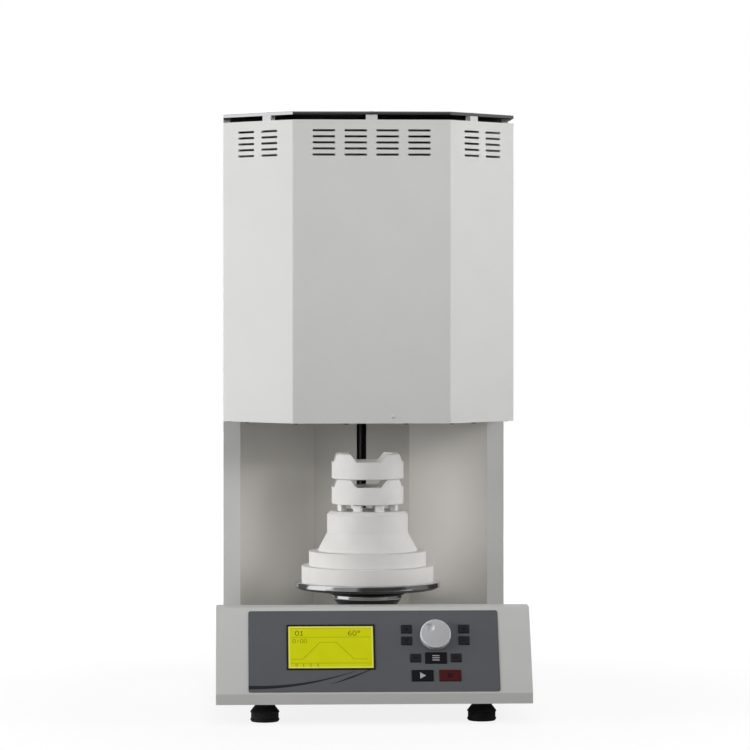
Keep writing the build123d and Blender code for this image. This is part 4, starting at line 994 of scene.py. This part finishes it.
class FURNACE_OT_fasteners(bpy.types.Operator):
    """Case screws under the head's edge, on its front facet, the lid, the rear cover and under the base"""

    bl_idname = "furnace.fasteners"
    bl_label = "Fasteners"

    def execute(self, context):
        sizes = context.scene.furnace_sizes
        screw = screw_head(sizes.screw_radius, sizes.screw_height)
        small_screw = screw_head(sizes.screw_radius * 0.6, sizes.screw_height * 0.6)
        casing_low, casing_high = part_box("head_casing")
        lid_low, lid_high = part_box("top_lid")
        rear_low, rear_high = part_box("rear_cover")
        tray_low, tray_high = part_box("base_tray")
        down = Matrix.Rotation(pi, 4, "X")
        forward = Matrix.Rotation(pi / 2, 4, "X")
        backward = Matrix.Rotation(-pi / 2, 4, "X")
        front = casing_low.y
        facet_start = casing_high.x - sizes.facet_depth
        edge = 7.5 * MM  # screws in from the casing's faces
        under = []
        for x in (-98, -32, 44, 105, 135, -160):
            x = x * MM
            past = abs(x) - facet_start  # over a slanted facet, the screws follow it back
            back = front + edge + (past + edge * 0.42 if past > 0 else 0)
            under.append(Matrix.Translation((x, back, casing_low.z)) @ down)
        for y in (-50, 30):
            for side in (-1, 1):
                x = side * (casing_high.x - edge)
                under.append(Matrix.Translation((x, y * MM, casing_low.z)) @ down)
        piece("head_edge_screws", [(screw, place) for place in under], "chassis", "arm_steel", "screw_steel")
        mark = Matrix.Translation((27.5 * MM, front, casing_low.z + 8 * MM)) @ forward
        piece("head_front_screw", [(small_screw, mark)], "chassis", "powder_coat_light", "powder_coat_light")
        rear = []
        rear_screws = 4
        for side in (-1, 1):
            for index in range(rear_screws):
                z = rear_low.z + 12 * MM + index * (rear_high.z - rear_low.z - 24 * MM) / (rear_screws - 1)
                place = Matrix.Translation((side * (rear_high.x - edge), rear_high.y, z))
                rear.append(place @ backward)
        piece("rear_cover_screws", [(screw, place) for place in rear], "chassis", "arm_steel", "screw_steel")
        below = []
        for x in (-0.8, 0, 0.8):
            for y in (tray_low.y + 6 * edge, tray_high.y - edge):
                below.append(Matrix.Translation((x * tray_high.x, y, tray_low.z)) @ down)
        piece("base_tray_screws", [(screw, place) for place in below], "chassis", "arm_steel", "screw_steel")
        lid_screws = []
        spacer_depth = 8 * MM
        inset = sizes.lid_hem + spacer_depth / 2
        diagonal = inset * sin(radians(45))
        facet_x = lid_high.x - sizes.facet_depth + sizes.facet_screw - diagonal
        facet_y = lid_low.y + sizes.facet_screw + diagonal
        side_y = (lid_low.y + sizes.facet_depth + 75 * MM) / 2
        for x, y in (
            (0, lid_low.y + inset),
            (facet_x, facet_y),
            (-facet_x, facet_y),
            (lid_high.x - inset, side_y),
            (inset - lid_high.x, side_y),
            (lid_high.x / 2, lid_high.y - 1.5 * MM - inset),
            (-lid_high.x / 2, lid_high.y - 1.5 * MM - inset),
        ):
            lid_screws.append(Matrix.Translation((x, y, lid_high.z - 0.36 * MM)))
        flat = screw_head(sizes.screw_radius * 0.8, 0.35 * MM)
        piece("lid_screws", [(flat, place) for place in lid_screws], "chassis", "arm_steel", "screw_steel")
        return {"FINISHED"}


class FURNACE_OT_feet(bpy.types.Operator):
    """Stepped rubber feet with a groove round each"""

    bl_idname = "furnace.feet"
    bl_label = "Feet"

    def execute(self, context):
        low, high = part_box("rubber_feet")
        height = high.z - low.z
        radius = 18.5 * MM
        neck = 13 * MM
        outline = [
            (0, 0, 0),
            (radius - 1.4 * MM, 0, 0.8 * MM),
            (radius, 2.2 * MM, 0.6 * MM),
            (radius, 3.6 * MM, 0.4 * MM),
            (radius - 0.9 * MM, 4.4 * MM, 0.3 * MM),
            (radius - 0.9 * MM, 11.0 * MM, 0.3 * MM),
            (radius, 11.8 * MM, 0.4 * MM),
            (radius, 13.0 * MM, 0.4 * MM),
            (neck, height - 5.5 * MM, 1.0 * MM),
            (neck, height, 0),
            (0, height, 0),
        ]
        foot = turned(softened(outline, 4), SMALL_TURN_STEPS)
        shapes = []
        for x in (low.x + radius, high.x - radius):
            for y in (low.y + radius, high.y - radius):
                shapes.append((foot, Matrix.Translation((x, y, low.z))))
        made = piece("moulded_feet", shapes, "chassis", "foot_rubber")
        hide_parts("rubber_feet")
        return {"FINISHED"}


# ---------------------------------------------------------------- finishes of the frame's own pieces
class FURNACE_OT_finishes(bpy.types.Operator):
    """Gives every piece of the frame the finish of its slot"""

    bl_idname = "furnace.finishes"
    bl_label = "Finishes"

    def execute(self, context):
        for part in frame["record"]["subparts"]:
            node = frame["nodes"][part["node"]]
            material = finish(part["material_slot"])
            if node.material_slots:
                for slot in node.material_slots:
                    slot.material = material
            else:
                node.data.materials.append(material)
        return {"FINISHED"}


# ---------------------------------------------------------------- stage
class FurnaceStage(bpy.types.PropertyGroup):
    """Camera and light."""

    distance: length("Camera distance", "From the head's front to the camera, front to back", 4.297)
    aside: length("Camera aside", "Camera to the left of the middle", 0.189)
    height: length("Camera height", "Camera above the bench", 0.5363)
    turn: FloatProperty(
        name="Turn", description="Camera turned to the right", default=radians(2.575), subtype="ANGLE"
    )
    lens: FloatProperty(name="Lens", description="Focal length in millimetres", default=160.45, min=1.0)
    shift_y: FloatProperty(name="Shift Y", description="Upward shift of the picture", default=-0.1015)
    left_power: FloatProperty(name="Left light", description="Power of the low left softbox", default=54.0)
    head_power: FloatProperty(
        name="Head light", description="Power of the lamp on the head's left", default=2.6
    )
    right_power: FloatProperty(name="Right light", description="Power of the right softbox", default=40.7)
    front_power: FloatProperty(
        name="Front light", description="Power of the small lamp on the head's front", default=1.2
    )
    rear_power: FloatProperty(name="Rear light", description="Power of the rear softbox", default=30.0)
    ambient: FloatProperty(name="Ambient", description="Even light from all sides", default=0.32)


def softbox(name, place, aim, width, height, power, spread=pi):
    """A rectangular lamp that looks at a point and that reflections don't show."""
    lamp = bpy.data.lights.new(name, "AREA")
    lamp.shape = "RECTANGLE"
    lamp.size = width
    lamp.size_y = height
    lamp.energy = power
    lamp.spread = spread
    made = bpy.data.objects.new(name, lamp)
    bpy.context.scene.collection.objects.link(made)
    made.location = place
    made.rotation_euler = (Vector(aim) - Vector(place)).to_track_quat("-Z", "Y").to_euler()
    made.visible_glossy = False


def adder(tree):
    """A function that adds a node with its settings and inputs to a tree."""

    def add(kind, inputs, **settings):
        made = tree.nodes.new(kind)
        for key, value in settings.items():
            setattr(made, key, value)
        for key, value in inputs.items():
            if isinstance(value, bpy.types.NodeSocket):
                tree.links.new(value, made.inputs[key])
            else:
                made.inputs[key].default_value = value
        return made.outputs

    return add


def studio_shade(add, direction):
    """What metal shows: dark in front, lit at the left, dim at the right and above, white behind."""
    sides = add("ShaderNodeSeparateXYZ", {"Vector": direction})

    def spread(side, low, high, to_low, to_high):
        """A number that changes smoothly from one direction to another."""
        limits = {"From Min": low, "From Max": high, "To Min": to_low, "To Max": to_high}
        inputs = {"Value": sides[side], **limits}
        return add("ShaderNodeMapRange", inputs, interpolation_type="SMOOTHSTEP")["Result"]

    def both(operation, first, second):
        """One sum on two numbers."""
        return add("ShaderNodeMath", {0: first, 1: second}, operation=operation)["Value"]

    left = both("ADD", spread("Y", -0.98, -0.93, 0.04, 0.28), spread("Y", -0.58, -0.47, 0.0, 0.72))
    left = both("MINIMUM", left, spread("Y", 0.26, 0.38, 1.0, 0.10))
    right = both("MINIMUM", spread("Y", -0.60, -0.40, 0.04, 0.17), spread("Y", 0.20, 0.32, 0.17, 0.04))
    shade = add("ShaderNodeMix", {0: spread("X", -0.25, 0.05, 0.0, 1.0), 2: left, 3: right})["Result"]
    shade = both("MAXIMUM", shade, spread("Z", 0.12, 0.35, 0.0, 0.2))
    return both("MAXIMUM", shade, spread("Y", 0.80, 0.92, 0.0, 1.0))


def studio_world(ambient):
    """White to the camera, the shaded studio to reflections, dim light to the rest."""
    world = bpy.data.worlds.new("studio")
    world.use_nodes = True
    world.node_tree.nodes.clear()
    add = adder(world.node_tree)
    studio = studio_shade(add, add("ShaderNodeTexCoord", {})["Generated"])
    path = add("ShaderNodeLightPath", {})
    others = add("ShaderNodeMix", {0: path["Is Glossy Ray"], 2: ambient, 3: studio})["Result"]
    seen = add(
        "ShaderNodeMath", {0: path["Is Camera Ray"], 1: path["Is Transmission Ray"]}, operation="MAXIMUM"
    )["Value"]
    strength = add("ShaderNodeMix", {0: seen, 2: others, 3: 1.0})["Result"]
    white = (1.0, 1.0, 1.0, 1.0)
    background = add("ShaderNodeBackground", {"Color": white, "Strength": strength})["Background"]
    add("ShaderNodeOutputWorld", {"Surface": background})
    return world


def studio_floor():
    """Pale floor that is white to the camera where no shadow falls, and brighter far away."""
    made = Finish("studio_floor", 0.9)
    path = made.node("ShaderNodeLightPath", {})
    pale = made.mixed(made.grain(0.5), (0.44, 0.44, 0.44, 1.0), (0.46, 0.46, 0.46, 1.0))
    made.paint(made.mixed(path.outputs["Is Camera Ray"], (0.23, 0.23, 0.23, 1.0), pale))
    seen = made.math("MAXIMUM", path.outputs["Is Camera Ray"], path.outputs["Is Transmission Ray"])
    away = made.node("ShaderNodeVectorMath", {0: made.place}, operation="LENGTH").outputs["Value"]
    shown = made.spread(away, 0.4, 2.0, 1.42, 1.75)
    # in reflections the floor is as bright as the studio above it
    outwards = made.node("ShaderNodeVectorMath", {0: made.place}, operation="NORMALIZE").outputs["Vector"]
    mirrored = studio_shade(adder(made.tree), outwards)
    strength = made.node("ShaderNodeMix", {0: seen, 2: mirrored, 3: shown}).outputs[0]
    glow = made.node("ShaderNodeEmission", {"Strength": strength})
    share = made.math("MAXIMUM", made.math("MULTIPLY", seen, 0.6), path.outputs["Is Glossy Ray"])
    mixed = made.node(
        "ShaderNodeMixShader", {0: share, 1: made.shader.outputs["BSDF"], 2: glow.outputs["Emission"]}
    )
    made.fill(made.tree.nodes["Material Output"].inputs["Surface"], mixed.outputs["Shader"])
    return made.material


class FURNACE_OT_stage(bpy.types.Operator):
    """Floor, softboxes, world and camera"""

    bl_idname = "furnace.stage"
    bl_label = "Stage"

    def execute(self, context):
        setup = context.scene.furnace_stage
        bm = bmesh.new()
        bmesh.ops.create_grid(bm, x_segments=8, y_segments=8, size=9.0)
        floor = bpy.data.objects.new("floor", to_mesh(bm))
        floor.data.materials.append(studio_floor())
        context.scene.collection.objects.link(floor)
        context.scene.world = studio_world(setup.ambient)
        softbox("left_softbox", (-2.95, -0.75, 0.6), (0, 0, 0.45), 2.6, 0.9, setup.left_power)
        softbox("right_softbox", (2.95, -0.6, 0.95), (0, 0, 0.42), 1.5, 1.8, setup.right_power)
        softbox("head_softbox", (-2.95, -0.9, 1.0), (0, 0, 0.65), 2.0, 0.8, setup.head_power, radians(60))
        softbox("rear_softbox", (0.8, 3.2, 0.9), (0, 0.25, 0.4), 2.4, 1.4, setup.rear_power)
        softbox("front_softbox", (1.4, -2.4, 1.1), (0, -0.17, 0.75), 0.8, 0.5, setup.front_power, radians(36))
        camera = bpy.data.objects.new("camera", bpy.data.cameras.new("camera"))
        context.scene.collection.objects.link(camera)
        camera.location = (-setup.aside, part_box("head_casing")[0].y - setup.distance, setup.height)
        camera.rotation_euler = (pi / 2, 0, -setup.turn)
        camera.data.lens = setup.lens
        camera.data.shift_y = setup.shift_y
        camera.data.clip_end = 60
        context.scene.camera = camera
        context.scene.view_settings.view_transform = "Standard"
        return {"FINISHED"}


# ---------------------------------------------------------------- add-on
OPERATORS = (
    FURNACE_OT_finishes,
    FURNACE_OT_lift_plate,
    FURNACE_OT_fibre_plug,
    FURNACE_OT_bowls,
    FURNACE_OT_knob,
    FURNACE_OT_display,
    FURNACE_OT_panel_print,
    FURNACE_OT_lid,
    FURNACE_OT_fasteners,
    FURNACE_OT_feet,
    FURNACE_OT_stage,
)


class FURNACE_PT_sidebar(bpy.types.Panel):
    """Buttons and values of the furnace"""

    bl_label = "Furnace"
    bl_space_type = "VIEW_3D"
    bl_region_type = "UI"
    bl_category = "Furnace"

    def draw(self, context):
        for operator in OPERATORS:
            self.layout.operator(operator.bl_idname)
        for group in GROUPS:
            values = getattr(context.scene, GROUPS[group])
            for name in group.__annotations__:
                self.layout.prop(values, name)


GROUPS = {FurnaceSizes: "furnace_sizes", FurnaceColours: "furnace_colours", FurnaceStage: "furnace_stage"}


def register():
    for group, name in GROUPS.items():
        bpy.utils.register_class(group)
        setattr(bpy.types.Scene, name, PointerProperty(type=group))
    for operator in OPERATORS:
        bpy.utils.register_class(operator)
    bpy.utils.register_class(FURNACE_PT_sidebar)


def unregister():
    bpy.utils.unregister_class(FURNACE_PT_sidebar)
    for operator in reversed(OPERATORS):
        bpy.utils.unregister_class(operator)
    for group, name in GROUPS.items():
        delattr(bpy.types.Scene, name)
        bpy.utils.unregister_class(group)


def main():
    """Makes every piece and the stage."""
    register()
    for operator in OPERATORS:
        group, name = operator.bl_idname.split(".")
        getattr(getattr(bpy.ops, group), name)()


if __name__ == "__main__":
    main()
